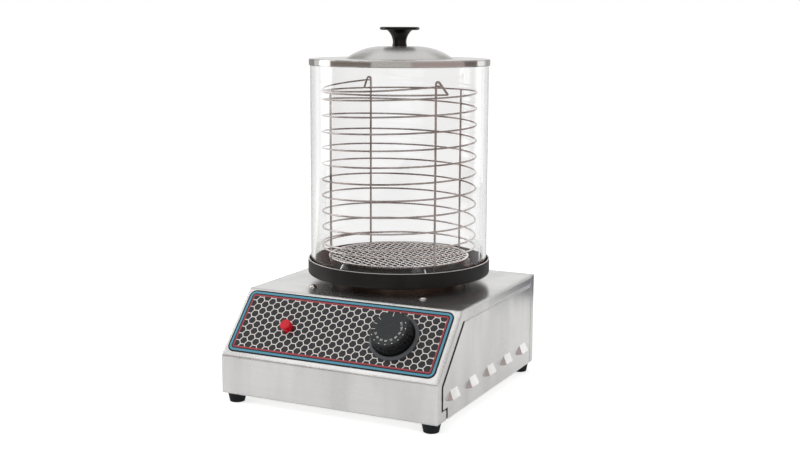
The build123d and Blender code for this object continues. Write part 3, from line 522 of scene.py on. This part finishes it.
# millimetres on the slope, across from the middle and up from the lower fold
panelPrint = {
    "middle": (-1.2, 45.2), "half": (124.45, 39.2), "corner": 8.0,
    "edges": (1.6, 4.1, 5.3, 7.2),    # stripe borders, inwards from the sheet's edge
    "cyan": (0.115, 0.37, 0.50, 1), "red": (0.43, 0.07, 0.085, 1), "ground": (0.006, 0.006, 0.008, 1),
    "cell": (0.031, 0.029, 0.034, 1), "line": (0.95, 0.91, 0.86, 1), "dust": (0.3, 0.29, 0.28, 1),
    "pitch": 8.57, "widen": 1.031, "lineWidth": 0.95, "firstHexagon": (-109.0, 71.9), "blur": (0.06, 0.08),
    "rough": (0.34, 0.46), "inkRough": -0.06, "shine": 0.22, "inkHeight": 0.4, "grain": 0.00002,
    "markSize": 0.03, "dustShare": 0.05, "skin": (3.0, 3.0),
}


def roundedEdge(x, y, half, corner):
    # distance inwards from the edge of a rounded rectangle
    qx, qy = (calc("SUBTRACT", calc("ABSOLUTE", v), size - corner) for v, size in zip((x, y), half))
    outer = hypotenuse(calc("MAXIMUM", qx, 0.0), calc("MAXIMUM", qy, 0.0))
    inner = calc("MINIMUM", calc("MAXIMUM", qx, qy), 0.0)
    return calc("SUBTRACT", corner, calc("ADD", outer, inner))


def cellDistance(x, y, width, height, shiftX, shiftY):
    # how far out x and y lie in the nearest hexagon of one of the two staggered rows
    def fold(value, size, shift):
        moved = calc("SUBTRACT", value, shift)
        whole = calc("FLOOR", calc("ADD", calc("DIVIDE", moved, size), 0.5))
        return calc("ABSOLUTE", calc("SUBTRACT", moved, product(whole, size)))
    fx, fy = fold(x, width, shiftX), fold(y, height, shiftY)
    slanted = product(fx, math.cos(math.radians(30)))
    return calc("MAXIMUM", calc("ADD", slanted, product(fy, 0.5)), fy)


def makePrintGroup():
    look = panelPrint
    takes = [("Vector", "Vector", None), ("Pitch", "Float", look["pitch"]),
             ("Line Width", "Float", look["lineWidth"])]
    tree, takes, gives = newEffect("panelPrint", takes, [("Color", "Color"), ("Ink", "Float")])
    x, y, _ = split(takes["Vector"])
    fromMiddle = [calc("SUBTRACT", v, middle) for v, middle in zip((x, y), look["middle"])]
    inwards = roundedEdge(*fromMiddle, look["half"], look["corner"])
    hx = calc("DIVIDE", calc("SUBTRACT", x, look["firstHexagon"][0]), look["widen"])
    hy = calc("SUBTRACT", y, look["firstHexagon"][1])
    wide = product(takes["Pitch"], math.sqrt(3))
    halfWide, halfGap, halfLine = (product(v, 0.5) for v in (wide, takes["Pitch"], takes["Line Width"]))
    first = cellDistance(hx, hy, wide, takes["Pitch"], 0.0, 0.0)
    second = cellDistance(hx, hy, wide, takes["Pitch"], halfWide, halfGap)
    fromLine = calc("SUBTRACT", halfGap, calc("MINIMUM", first, second))
    stripeBlur, lineBlur = look["blur"]
    past = between(calc("SUBTRACT", fromLine, halfLine), -lineBlur, lineBlur)
    lines = calc("SUBTRACT", 1.0, past)
    colour = blendColour(lines, look["cell"], look["line"])
    for tone, start in zip(("red", "ground", "cyan", "ground"), reversed(look["edges"])):
        stripe = between(inwards, start + stripeBlur, start - stripeBlur)
        colour = blendColour(stripe, colour, look[tone])
    plug(gives["Color"], colour)
    plug(gives["Ink"], lines)
    return tree


def makePanelPrint():
    look = panelPrint
    group = makePrintGroup()
    finish, shader, _ = newFinish("panelPrint")
    tree = shader.id_data
    up = foldPoint.y * slopeCos + foldPoint.z * slopeSin
    turned = addNode(tree, "ShaderNodeMapping", {
        "Vector": addNode(tree, "ShaderNodeTexCoord").outputs["Object"], "Scale": (1 / mm, 1 / mm, 1 / mm),
        "Rotation": (-slopeTilt, 0, 0), "Location": Vector((0, -up, -foldPoint.dot(slopeOut))) / mm})
    where = turned.outputs[0]
    art = filled(group, where)
    marks = filled(wipedMarks, where, Size=look["markSize"])["Marks"]
    dust = filled(settledDust, where, Amount=look["dustShare"])["Dust"]
    smoother, raised = (product(art["Ink"], look[share]) for share in ("inkRough", "inkHeight"))
    matt = calc("ADD", between(marks, 0, 1, *look["rough"]), smoother)
    printed = blendColour(dust, art["Color"], look["dust"])
    feed(shader, {"Base Color": printed, "Roughness": matt, "Specular IOR Level": look["shine"]})
    bump(shader, calc("ADD", noise(where, *look["skin"]), raised), look["grain"])
    return finish


alongX, alongY = (26, 2600, 2600), (2600, 26, 2600)    # which way the sheet was brushed
coverSteel = makeSheetSteel("coverSteel", alongX, 1.0, fold=0.004, metal=0.86)
traySteel = makeSheetSteel("traySteel", alongY, 2.0)
backSteel = makeSheetSteel("backSteel", alongX, 3.0)
spunLid = makeSpunSteel()
tintedSteel = makeTintedSteel()
basketSteel = makeWire("basketSteel", (0.80, 0.735, 0.71, 1), (0.17, 0.115, 0.105, 1), 0.92)
gridSteel = makeWire("gridSteel", (0.84, 0.81, 0.79, 1), (0.56, 0.48, 0.45, 1), 0.5)
turnedSteel = makePlain("turnedSteel")
castMetal = makePlain("castMetal")
drawnCopper = makePlain("drawnCopper")
panFinish = makePanCoat()
mouldedBlack = makeBlackPlastic("mouldedBlack", (0.012, 0.012, 0.013, 1), 0.42, 0.03)
bezelBlack = makeBlackPlastic("bezelBlack", (0.075, 0.08, 0.085, 1), 0.36, 0.05, shine=0.3)
dialBlack = makeBlackPlastic("dialBlack", (0.005, 0.0055, 0.006, 1), 0.22, 0.02, shine=0.3, rim=1.0,
                             face=(0.017, 0.020, 0.022, 1))
bakelite = makeBlackPlastic("bakelite", (0.002, 0.002, 0.002, 1), 0.1, 0.0, shine=0.28, grain=0.000002)
rubber = makeRubber()
redLens = makeLens()
ceramic = makePlain("glazedCeramic")
mineralBoard = makePlain("mineralBoard")
clearGlass = makeGlass()
printedPanel = makePanelPrint()
print("finishes ready")

piecesOf = (
    (coverSteel, "housing_cover"),
    (traySteel, "louvred_tray"),
    (backSteel, "back_panel clamp_bar support_rails"),
    (printedPanel, "panel_overlay"),
    (bezelBlack, "dial_bezel"),
    (dialBlack, "dial_knob"),
    (redLens, "lamp_lens"),
    (mouldedBlack, "lamp_body lamp_nut cord_gland gland_nut"),
    (panFinish, "water_pan"),
    (tintedSteel, "heater_shroud heating_element"),
    (castMetal, "heater_plate"),
    (mineralBoard, "insulating_board"),
    (drawnCopper, "sensing_bulb capillary_tube"),
    (ceramic, "thermostat_body terminal_block"),
    (turnedSteel, "thermostat_spindle thermostat_screws lamp_blades pan_stud stud_nut dome_screws dome_nuts "
                  "terminal_screws back_screws foot_screws foot_nuts lid_washer lid_screw"),
    (rubber, "rubber_feet"),
    (clearGlass, "glass_cylinder"),
    (basketSteel, "basket_coil plain_rods looped_rods basket_bail"),
    (spunLid, "lid_shell"),
    (bakelite, "lid_knob"),
    (gridSteel, "grid_rim grid_mesh grid_legs"),
)
for finish, names in piecesOf:
    for name in names.split():
        for place in nodes[name].material_slots:
            place.material = finish
print("frame pieces finished:", sum(len(names.split()) for finish, names in piecesOf))


def geometry(tree, kind, feeds=None, **settings):
    return addNode(tree, "GeometryNode" + kind, feeds, **settings).outputs[0]


def newShapeTree(name, takes):
    takes = [("Geometry", "Geometry", None)] + takes + [("Finish", "Material", None)]
    return newGroup(name, "GeometryNodeTree", takes, [("Geometry", "Geometry")])


def endTree(tree, shape, entry, leave, smooth=True):
    solid = geometry(tree, "RealizeInstances", {"Geometry": shape})
    if smooth:
        solid = geometry(tree, "SetShadeSmooth", {"Geometry": solid})
    plug(leave["Geometry"], geometry(tree, "SetMaterial", {"Geometry": solid, "Material": entry["Finish"]}))


def skinned(tree, path, section):
    feeds = {"Curve": path, "Profile Curve": section, "Fill Caps": True}
    return geometry(tree, "CurveToMesh", feeds)


def roundWire(tree, path, takes):
    ring = {"Resolution": takes["Sides"], "Radius": takes["Wire Radius"]}
    return skinned(tree, path, geometry(tree, "CurvePrimitiveCircle", ring))


def shifted(tree, shape, **change):
    return geometry(tree, "Transform", {"Geometry": shape, **change})


def growShape(name, tree, values, startMesh=None):
    piece = bpy.data.objects.new(name, startMesh or bpy.data.meshes.new(name))
    bpy.context.collection.objects.link(piece)
    modifier = piece.modifiers.new("shape", "NODES")
    modifier.node_group = tree
    ids = {item.name: item.identifier for item in tree.interface.items_tree
           if item.item_type == "SOCKET" and item.in_out == "INPUT"}
    for label, value in values.items():
        modifier[ids[label]] = value
    graph = bpy.context.evaluated_depsgraph_get()
    grown = bpy.data.meshes.new_from_object(piece.evaluated_get(graph))
    piece.modifiers.clear()
    piece.data = grown
    return piece


def makeWireTree():
    # skins every edge path of the start mesh with round wire
    tree, takes, leave = newShapeTree("roundWire", [("Wire Radius", "Float", 0.001), ("Sides", "Int", 12)])
    path = geometry(tree, "MeshToCurve", {"Mesh": takes["Geometry"]})
    endTree(tree, roundWire(tree, path, takes), takes, leave)
    return tree


def makeCoilTree():
    # one wire: a level turn, a climb at even pitch and a level end, all from the share of the way along it
    tree, takes, leave = newShapeTree("coiledWire", [
        ("Coil Radius", "Float", 0.08), ("Wire Radius", "Float", 0.001), ("Low", "Float", 0.1),
        ("High", "Float", 0.3), ("Turns", "Float", 9.0), ("Start", "Float", 0.0), ("Last Arc", "Float", 5.0),
        ("Axis Y", "Float", 0.0), ("Steps", "Int", 900), ("Sides", "Int", 10)])
    line = geometry(tree, "CurvePrimitiveLine")
    dense = geometry(tree, "ResampleCurve", {"Curve": line, "Count": takes["Steps"]})
    share = geometry(tree, "SplineParameter")
    fullTurn = 2 * math.pi
    climbEnd = calc("ADD", product(takes["Turns"], fullTurn), fullTurn)
    turned = product(share, calc("ADD", climbEnd, takes["Last Arc"]))
    angle = calc("ADD", turned, takes["Start"])
    lift = between(turned, fullTurn, climbEnd, takes["Low"], takes["High"])
    x, y = (product(calc(wave, angle), takes["Coil Radius"]) for wave in ("COSINE", "SINE"))
    point = joined(x, calc("ADD", y, takes["Axis Y"]), lift)
    wound = geometry(tree, "SetPosition", {"Geometry": dense, "Position": point})
    endTree(tree, roundWire(tree, wound, takes), takes, leave)
    return tree


def makeMeshTree():
    # expanded metal: two slanted strands start at every point of two staggered point grids
    tree, takes, leave = newShapeTree("expandedMetal", [
        ("Disc Radius", "Float", 0.079), ("Cell Length", "Float", 0.019), ("Cell Width", "Float", 0.0078),
        ("Strand Width", "Float", 0.001), ("Strand Thickness", "Float", 0.0008), ("Lean", "Float", 0.25),
        ("Bearing", "Float", 0.0), ("Height", "Float", 0.1), ("Axis Y", "Float", 0.0),
        ("Columns", "Int", 24), ("Rows", "Int", 40)])
    halfLength, halfWidth = (product(takes[side], 0.5) for side in ("Cell Length", "Cell Width"))
    sizeX = product(takes["Cell Length"], calc("SUBTRACT", takes["Columns"], 1.0))
    sizeY = product(takes["Cell Width"], calc("SUBTRACT", takes["Rows"], 1.0))
    spread = {"Size X": sizeX, "Size Y": sizeY, "Vertices X": takes["Columns"], "Vertices Y": takes["Rows"]}
    grid = geometry(tree, "MeshGrid", spread)
    both = addNode(tree, "GeometryNodeJoinGeometry")
    tree.links.new(grid, both.inputs[0])
    tree.links.new(shifted(tree, grid, Translation=joined(halfLength, halfWidth, 0.0)), both.inputs[0])
    points = geometry(tree, "MeshToPoints", {"Mesh": both.outputs[0]})
    away = vectorCalc("LENGTH", geometry(tree, "InputPosition"))
    limit = calc("ADD", takes["Disc Radius"], halfLength)
    outside = addNode(tree, "FunctionNodeCompare", {0: away, 1: limit},
                      data_type="FLOAT", operation="GREATER_THAN")
    kept = geometry(tree, "DeleteGeometry", {"Geometry": points, "Selection": outside.outputs[0]},
                    domain="POINT")
    ends = {"End": joined(hypotenuse(halfLength, halfWidth), 0.0, 0.0)}
    strand = geometry(tree, "CurvePrimitiveLine", ends)
    flatBar = {"Width": takes["Strand Thickness"], "Height": takes["Strand Width"]}
    section = geometry(tree, "CurvePrimitiveQuadrilateral", flatBar)
    corner = product(takes["Strand Thickness"], 0.3)
    rounding = {"Curve": section, "Radius": corner, "Count": 1}
    bar = skinned(tree, strand, geometry(tree, "FilletCurve", rounding, mode="POLY"))
    slant = calc("ARCTAN2", halfWidth, halfLength)
    web = addNode(tree, "GeometryNodeJoinGeometry")
    for sign in (1.0, -1.0):
        turn = joined(takes["Lean"], 0.0, product(slant, sign))
        leaning = {"Points": kept, "Instance": shifted(tree, bar, Rotation=turn)}
        tree.links.new(geometry(tree, "InstanceOnPoints", leaning), web.inputs[0])
    level = shifted(tree, web.outputs[0], Rotation=joined(0.0, 0.0, takes["Bearing"]))
    solid = geometry(tree, "RealizeInstances", {"Geometry": level})
    # strands that run past the rim are drawn back into its channel
    x, y, z = split(geometry(tree, "InputPosition"))
    reach = calc("MAXIMUM", hypotenuse(x, y), 0.0001)
    pull = calc("MINIMUM", calc("DIVIDE", takes["Disc Radius"], reach), 1.0)
    pulledY = calc("ADD", product(y, pull), takes["Axis Y"])
    held = joined(product(x, pull), pulledY, calc("ADD", z, takes["Height"]))
    placed = geometry(tree, "SetPosition", {"Geometry": solid, "Position": held})
    endTree(tree, placed, takes, leave, smooth=False)
    return tree


def makeDotTree():
    # flat printed dots at every point of the start mesh
    tree, takes, leave = newShapeTree("printedDots", [
        ("Dot Radius", "Float", 0.0005), ("Ink", "Float", 0.00006), ("Tilt", "Float", 0.8)])
    disc = {"Vertices": 14, "Radius": takes["Dot Radius"], "Depth": takes["Ink"]}
    dot = geometry(tree, "MeshCylinder", disc)
    tilted = {"Points": takes["Geometry"], "Instance": dot, "Rotation": joined(takes["Tilt"], 0.0, 0.0)}
    endTree(tree, geometry(tree, "InstanceOnPoints", tilted), takes, leave, smooth=False)
    return tree


wireTree = makeWireTree()
coilTree = makeCoilTree()
meshTree = makeMeshTree()
dotTree = makeDotTree()
print("shape trees ready")


def pathMesh(name, paths):
    # loose edge paths, given in millimetres
    spots, edges = [], []
    for path in paths:
        first = len(spots)
        spots += [Vector(p) * mm for p in path]
        edges += [(first + i, first + i + 1) for i in range(len(path) - 1)]
    mesh = bpy.data.meshes.new(name)
    mesh.from_pydata(spots, edges, [])
    return mesh


def roundedPath(points, radius, steps=8):
    # points in millimetres; each inner corner becomes an arc
    points = [Vector(p) for p in points]
    out = [points[0]]
    for before, corner, after in zip(points, points[1:], points[2:]):
        a, b = (before - corner).normalized(), (after - corner).normalized()
        halfAngle = a.angle(b) / 2
        back = radius / math.tan(halfAngle)
        middle = corner + (a + b).normalized() * (radius / math.sin(halfAngle))
        start, end = corner + a * back - middle, corner + b * back - middle
        sweep = start.angle(end)
        for i in range(steps + 1):
            t = i / steps
            along = start * math.sin((1 - t) * sweep) + end * math.sin(t * sweep)
            out.append(middle + along / math.sin(sweep))
    return out + [points[-1]]


coilLow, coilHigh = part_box("basket_coil")
basketWire = {    # millimetres and degrees
    "wire": 1.0, "rodRadius": 1.25, "rodCircle": 85.55, "rodSides": 14, "plainRods": (58.0, 235.0),
    # bearing, turn from there to the loop's foot, height of its peak above the top ring
    "loopedRods": ((-37.0, 10.2, 18.3), (140.0, 6.0, 24.5)),
    "loopBend": 2.5, "panFloor": 1.5,
}
bailWire = {
    "wire": 1.0, "radius": 89.5, "bend": 2.4, "tail": 9.0, "pivot": 9.3, "offsets": (3.8, 2.75), "rest": 0.3,
    "bendSteps": 6, "ringSteps": 90, "sides": 12,
}
axisMm = axisY / mm
ringLow = coilLow.z / mm + basketWire["wire"]
ringTop = coilHigh.z / mm - basketWire["wire"]
floorMm = panLow.z / mm + basketWire["panFloor"]


def aroundAxis(radius, bearing, z):
    angle = math.radians(bearing)
    return (radius * math.cos(angle), axisMm + radius * math.sin(angle), z)


def makeCoil():
    return growShape("coiledWire", coilTree, {
        "Coil Radius": 87.5 * mm, "Wire Radius": basketWire["wire"] * mm, "Low": ringLow * mm,
        "High": ringTop * mm, "Turns": 9.72, "Start": math.radians(130.0), "Last Arc": math.radians(303.0),
        "Axis Y": axisY, "Steps": 1320, "Sides": 10, "Finish": basketSteel})


def makeRods():
    b = basketWire
    circle = b["rodCircle"]
    paths = [[aroundAxis(circle, bearing, z) for z in (floorMm, ringTop)] for bearing in b["plainRods"]]
    for bearing, turn, peak in b["loopedRods"]:
        corners = [aroundAxis(circle, bearing, floorMm), aroundAxis(circle, bearing, ringTop + peak),
                   aroundAxis(circle, bearing + turn, ringTop)]
        paths.append(roundedPath(corners, b["loopBend"]))
    values = {"Wire Radius": b["rodRadius"] * mm, "Sides": b["rodSides"], "Finish": basketSteel}
    return growShape("basketRods", wireTree, values, pathMesh("rodPaths", paths))


def arcPoints(centre, radius, start, sweep, steps, first=0, mirror=1):
    angles = [start + sweep * i / steps for i in range(first, steps + 1 - first)]
    return [(mirror * (centre[0] + radius * math.cos(a)), centre[1] + radius * math.sin(a)) for a in angles]


def makeBail():
    # half ring with its two ends turned in through the loops; it lies folded down on the top ring
    b, circle = bailWire, basketWire["rodCircle"]
    right, left = (Vector(aroundAxis(circle, rod[0] + math.degrees(offset / circle), ringTop + b["pivot"]))
                   for rod, offset in zip(basketWire["loopedRods"], b["offsets"]))
    across = (right - left).normalized()
    middle = (right + left) / 2
    tilt = math.asin((b["pivot"] - basketWire["wire"] - b["wire"] - b["rest"]) / b["radius"])
    bendX = math.sqrt((b["radius"] - b["bend"]) ** 2 - b["bend"] ** 2)
    lean = math.atan2(b["bend"], bendX)
    bendAt, quarter = (bendX, b["bend"]), math.radians(90)
    flat = [(b["radius"] - b["tail"], 0)]
    flat += arcPoints(bendAt, b["bend"], -quarter, quarter + lean, b["bendSteps"])
    flat += arcPoints((0, 0), b["radius"], lean, math.pi - 2 * lean, b["ringSteps"], 1)
    flat += arcPoints(bendAt, b["bend"], lean, -quarter - lean, b["bendSteps"], mirror=-1)
    flat += [(b["tail"] - b["radius"], 0)]
    turn = Matrix((-across, Vector((0, 0, 1)).cross(-across), (0, 0, 1))).transposed()
    path = [middle + turn @ (Matrix.Rotation(-tilt, 3, "X") @ Vector((x, y, 0))) for x, y in flat]
    values = {"Wire Radius": b["wire"] * mm, "Sides": b["sides"], "Finish": basketSteel}
    return growShape("bailWire", wireTree, values, pathMesh("bailPath", [path]))


coil = makeCoil()
rods = makeRods()
bail = makeBail()
basketPieces = (
    (coil, "basket", ["basket_coil"]),
    (rods, "basket", ["plain_rods", "looped_rods"]),
    (bail, "bail", ["basket_bail"]),
)
for piece, body, replaced in basketPieces:
    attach(piece, body)
    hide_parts(*replaced)
print("basket wound:", [len(p.data.polygons) for p in (coil, rods, bail)])

rimLow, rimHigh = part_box("grid_rim")
standingGrid = {
    "Disc Radius": 79.3 * mm, "Cell Length": 19.0 * mm, "Cell Width": 7.8 * mm, "Strand Width": 1.35 * mm,
    "Strand Thickness": 0.95 * mm, "Lean": math.radians(14.0), "Bearing": math.radians(126.0),
    "Axis Y": axisY, "Height": (rimLow.z + rimHigh.z) / 2, "Columns": 13, "Rows": 29, "Finish": gridSteel,
}
gridSheet = growShape("gridSheet", meshTree, standingGrid)
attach(gridSheet, "grid")
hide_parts("grid_mesh")
print("grid cut:", len(gridSheet.data.polygons))

dialFace = {    # millimetres and degrees, round the dial's middle
    "centre": (65.5, 46.5), "top": 19.5, "ink": 0.06,
    "firstMark": 142.0, "step": 22.5, "plainMarks": 3, "numbers": range(30, 120, 10),
    "mark": (15.2, 19.3, 0.55), "pointer": (15.8, 20.0, 0.7),    # from, to, width
    "numberCircle": 14.4, "numberSize": 3.2, "dotCircle": 18.7, "dotRadius": 0.55, "pointerDot": 15.4,
}


def slopeMatrix(x, up, lift):
    across, upwards = Vector((1, 0, 0)), Vector((0, slopeCos, slopeSin))
    origin = foldPoint + (across * x + upwards * up + slopeOut * lift) * mm
    return Matrix.Translation(origin) @ Matrix((across, upwards, slopeOut)).transposed().to_4x4()


def makeFigure(number):
    text = bpy.data.curves.new("number", "FONT")
    text.body = str(number)
    text.size = dialFace["numberSize"] * mm
    text.align_x, text.align_y = "CENTER", "CENTER"
    text.extrude = dialFace["ink"] * mm / 2
    text.resolution_u = 3
    holder = bpy.data.objects.new("number", text)
    figure = bpy.data.meshes.new_from_object(holder)
    bpy.data.objects.remove(holder)
    return figure


def makeDialMarks(ink):
    d = dialFace
    place = slopeMatrix(*d["centre"], d["top"] + d["ink"] / 2)
    shapes = bmesh.new()

    def bar(angle, near, far, width):
        turn = Matrix.Rotation(math.radians(angle), 4, "Z")
        out = Matrix.Translation(((near + far) / 2 * mm, 0, 0))
        size = Matrix.Diagonal(((far - near) * mm, width * mm, d["ink"] * mm, 1))
        bmesh.ops.create_cube(shapes, size=1.0, matrix=place @ turn @ out @ size)

    def around(radius, angle):
        return Vector((radius * mm * math.cos(angle), radius * mm * math.sin(angle), 0))

    bar(90, *d["pointer"])
    for index in range(d["plainMarks"]):
        bar(d["firstMark"] + index * d["step"], *d["mark"])
    dotSpots = [place @ Vector((0, d["pointerDot"] * mm, 0))]
    for index, number in enumerate(d["numbers"], d["plainMarks"]):
        angle = math.radians(d["firstMark"] + index * d["step"])
        figure = makeFigure(number)
        spot = Matrix.Translation(around(d["numberCircle"], angle))
        figure.transform(place @ spot @ Matrix.Rotation(angle - math.radians(270), 4, "Z"))
        shapes.from_mesh(figure)
        dotSpots.append(place @ around(d["dotCircle"], angle))
    mesh = bpy.data.meshes.new("dialFigures")
    shapes.to_mesh(mesh)
    shapes.free()
    mesh.materials.clear()
    mesh.materials.append(ink)
    figures = bpy.data.objects.new("dialFigures", mesh)
    bpy.context.collection.objects.link(figures)
    start = bpy.data.meshes.new("dotSpots")
    start.from_pydata(dotSpots, [], [])
    values = {"Dot Radius": d["dotRadius"] * mm, "Ink": d["ink"] * mm, "Tilt": slopeTilt, "Finish": ink}
    return figures, growShape("dialDots", dotTree, values, start)


for piece in makeDialMarks(makePlain("dialInk")):
    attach(piece, "dial")
print("dial marked")

studio = {
    "floorSize": 60.0, "floorTone": (0.9, 0.9, 0.9, 1), "floorSeen": 0.6, "floorMirrored": 0.38,
    "worldFill": 0.62, "aim": (0, 0, 0.2),
    "lamps": {    # place, power, size
        "keyLamp": ((-1.1, -1.7, 1.9), 8.0, (1.1, 1.1)),
        "leftLamp": ((-1.75, -0.28, 0.75), 5.0, (0.75, 1.5)),
        "rightLamp": ((0.95, 1.45, 0.32), 0.52, (0.55, 0.62)),
        "topLamp": ((-0.9, -0.55, 2.1), 1.0, (1.2, 1.2)),
    },
}


def makeSheet(name, corners, paint):
    # a flat piece of the studio, with a matt Principled material
    mesh = bpy.data.meshes.new(name)
    mesh.from_pydata(corners, [], [(0, 1, 2, 3)])
    mesh.materials.append(bpy.data.materials.new(paint))
    mesh.materials[0].use_nodes = True
    sheet = bpy.data.objects.new(name, mesh)
    bpy.context.collection.objects.link(sheet)
    tree = mesh.materials[0].node_tree
    shader = tree.nodes["Principled BSDF"]
    plug(shader.inputs["Specular IOR Level"], 0.0)
    return sheet, tree, shader


def makeFloor():
    h = studio["floorSize"] / 2
    _, tree, shader = makeSheet("floor", [(-h, -h, 0), (h, -h, 0), (h, h, 0), (-h, h, 0)], "paleFloor")
    path = addNode(tree, "ShaderNodeLightPath").outputs
    elsewhere = calc("MAXIMUM", path["Is Glossy Ray"], path["Is Transmission Ray"])
    mirrored = product(elsewhere, studio["floorMirrored"])
    direct = product(path["Is Camera Ray"], studio["floorSeen"])
    feed(shader, {"Base Color": studio["floorTone"], "Roughness": 1.0, "Emission Color": (1, 1, 1, 1),
                  "Emission Strength": calc("ADD", mirrored, direct)})


def makeWorld():
    world = bpy.data.worlds.new("studio")
    bpy.context.scene.world = world
    world.use_nodes = True
    tree = world.node_tree
    path = addNode(tree, "ShaderNodeLightPath").outputs
    seen = calc("MAXIMUM", path["Is Camera Ray"], path["Is Glossy Ray"])
    seen = calc("MAXIMUM", seen, path["Is Transmission Ray"])
    bright = between(seen, 0, 1, studio["worldFill"], 1.0)
    feed(tree.nodes["Background"], {"Color": (1, 1, 1, 1), "Strength": bright})


def makeLamp(name, place, power, size):
    lamp = bpy.data.lights.new(name, "AREA")
    lamp.energy = power
    lamp.shape = "RECTANGLE"
    lamp.size, lamp.size_y = size
    holder = bpy.data.objects.new(name, lamp)
    bpy.context.collection.objects.link(holder)
    aim = Vector(studio["aim"]) - Vector(place)
    holder.matrix_world = Matrix.Translation(place) @ aim.to_track_quat("-Z", "Y").to_matrix().to_4x4()


def standing(start, end, far, foot, high):
    # between two bearings round the object's axis, in degrees
    near, beyond = (Vector((math.cos(a), math.sin(a), 0)) * far + Vector((0, axisY, foot))
                    for a in (math.radians(start), math.radians(end)))
    rise = Vector((0, 0, high))
    return near, beyond, beyond + rise, near + rise


def lying(*spots):
    return [(x, y, 0.001) for x, y in spots]


# cards that only reflections see: they draw the soft dark bands on the round metal. Each has a name, corners,
# a tone, and whether the glass leaves it out; the last two carry the last two upright ones on over the floor
cards = (
    ("uprightCard", standing(-157.0, -98.0, 1.6, 0.0, 1.5), (0.30, 0.26, 0.235, 1), False),
    ("uprightCard", standing(-98.0, -50.0, 1.6, 0.30, 1.2), (0.66, 0.62, 0.58, 1), False),
    ("uprightCard", standing(-50.0, 22.0, 1.6, 0.0, 1.5), (0.58, 0.49, 0.47, 1), False),
    ("uprightCard", standing(22.0, 47.0, 1.6, 0.0, 1.5), (0.25, 0.205, 0.195, 1), False),
    ("uprightCard", standing(134.0, 165.0, 1.6, 0.0, 2.0), (0.38, 0.38, 0.37, 1), True),
    ("uprightCard", standing(72.0, 99.0, 1.9, 0.0, 2.0), (0.52, 0.52, 0.51, 1), True),
    ("lyingCard", lying((0.22, 0.50), (1.3, 0.50), (1.3, 1.8), (0.22, 1.8)), (0.18, 0.19, 0.22, 1), True),
    ("lyingCard", lying((-2.0, -0.58), (1.6, -0.58), (1.6, -2.1), (-2.0, -2.1)),
     (0.11, 0.085, 0.075, 1), False),
    ("lyingCard", lying((-2.0, -0.58), (-0.62, -0.58), (-0.62, 0.3), (-2.0, 0.3)),
     (0.34, 0.32, 0.31, 1), False),
    ("lyingCard", lying((0.66, -0.58), (1.6, -0.58), (1.6, 0.4), (0.66, 0.4)), (0.34, 0.32, 0.31, 1), False),
    ("lyingCard", lying((-0.243, 0.281), (-0.338, 0.12), (-1.545, 0.443), (-1.111, 1.18)),
     (0.38, 0.38, 0.37, 1), True),
    ("lyingCard", lying((0.108, 0.391), (-0.055, 0.404), (-0.297, 1.935), (0.587, 1.865)),
     (0.52, 0.52, 0.51, 1), True),
)


def makeCard(name, corners, tone, leftOut):
    piece, tree, shader = makeSheet(name, corners, "cardCloth")
    feed(shader, {"Base Color": (0, 0, 0, 1), "Emission Color": tone, "Emission Strength": 1.0})
    # clear where the glass shows it straight, and solid in what a wire or the pan mirrors
    path = addNode(tree, "ShaderNodeLightPath").outputs
    unmirrored = calc("LESS_THAN", path["Glossy Depth"], 0.5)
    straight = product(unmirrored, path["Is Transmission Ray"])
    clear = addNode(tree, "ShaderNodeBsdfTransparent").outputs["BSDF"]
    mix = addNode(tree, "ShaderNodeMixShader", {0: straight, 1: shader.outputs["BSDF"], 2: clear})
    plug(tree.nodes["Material Output"].inputs["Surface"], mix.outputs[0])
    piece.visible_camera = False
    piece.visible_diffuse = False
    piece.visible_shadow = False
    piece.visible_transmission = not leftOut


cameraSetup = {
    "place": (0.61767, -1.22754, 0.40859), "yaw": 26.126, "pitch": 9.243, "roll": 0.222,
    "lens": 55.4056, "reddishPatch": 36.0, "clip": (0.05, 100.0),
}


def makeCamera():
    yaw, pitch, roll = (math.radians(cameraSetup[k]) for k in ("yaw", "pitch", "roll"))
    ahead = Vector((-math.sin(yaw) * math.cos(pitch), math.cos(yaw) * math.cos(pitch), -math.sin(pitch)))
    level = Vector((math.cos(yaw), math.sin(yaw), 0))
    upright = level.cross(ahead)
    right = math.cos(roll) * level + math.sin(roll) * upright
    up = -math.sin(roll) * level + math.cos(roll) * upright
    lens = bpy.data.cameras.new("camera")
    lens.lens = cameraSetup["lens"]
    lens.sensor_width = cameraSetup["reddishPatch"]
    lens.sensor_fit = "HORIZONTAL"
    lens.clip_start, lens.clip_end = cameraSetup["clip"]
    camera = bpy.data.objects.new("camera", lens)
    bpy.context.collection.objects.link(camera)
    turn = Matrix((right, up, -ahead)).transposed().to_4x4()
    camera.matrix_world = Matrix.Translation(cameraSetup["place"]) @ turn
    bpy.context.scene.camera = camera


makeFloor()
makeWorld()
for card in cards:
    makeCard(*card)
for name, (place, power, size) in studio["lamps"].items():
    makeLamp(name, place, power, size)
makeCamera()
bpy.context.scene.view_settings.view_transform = "Standard"
print("studio ready")
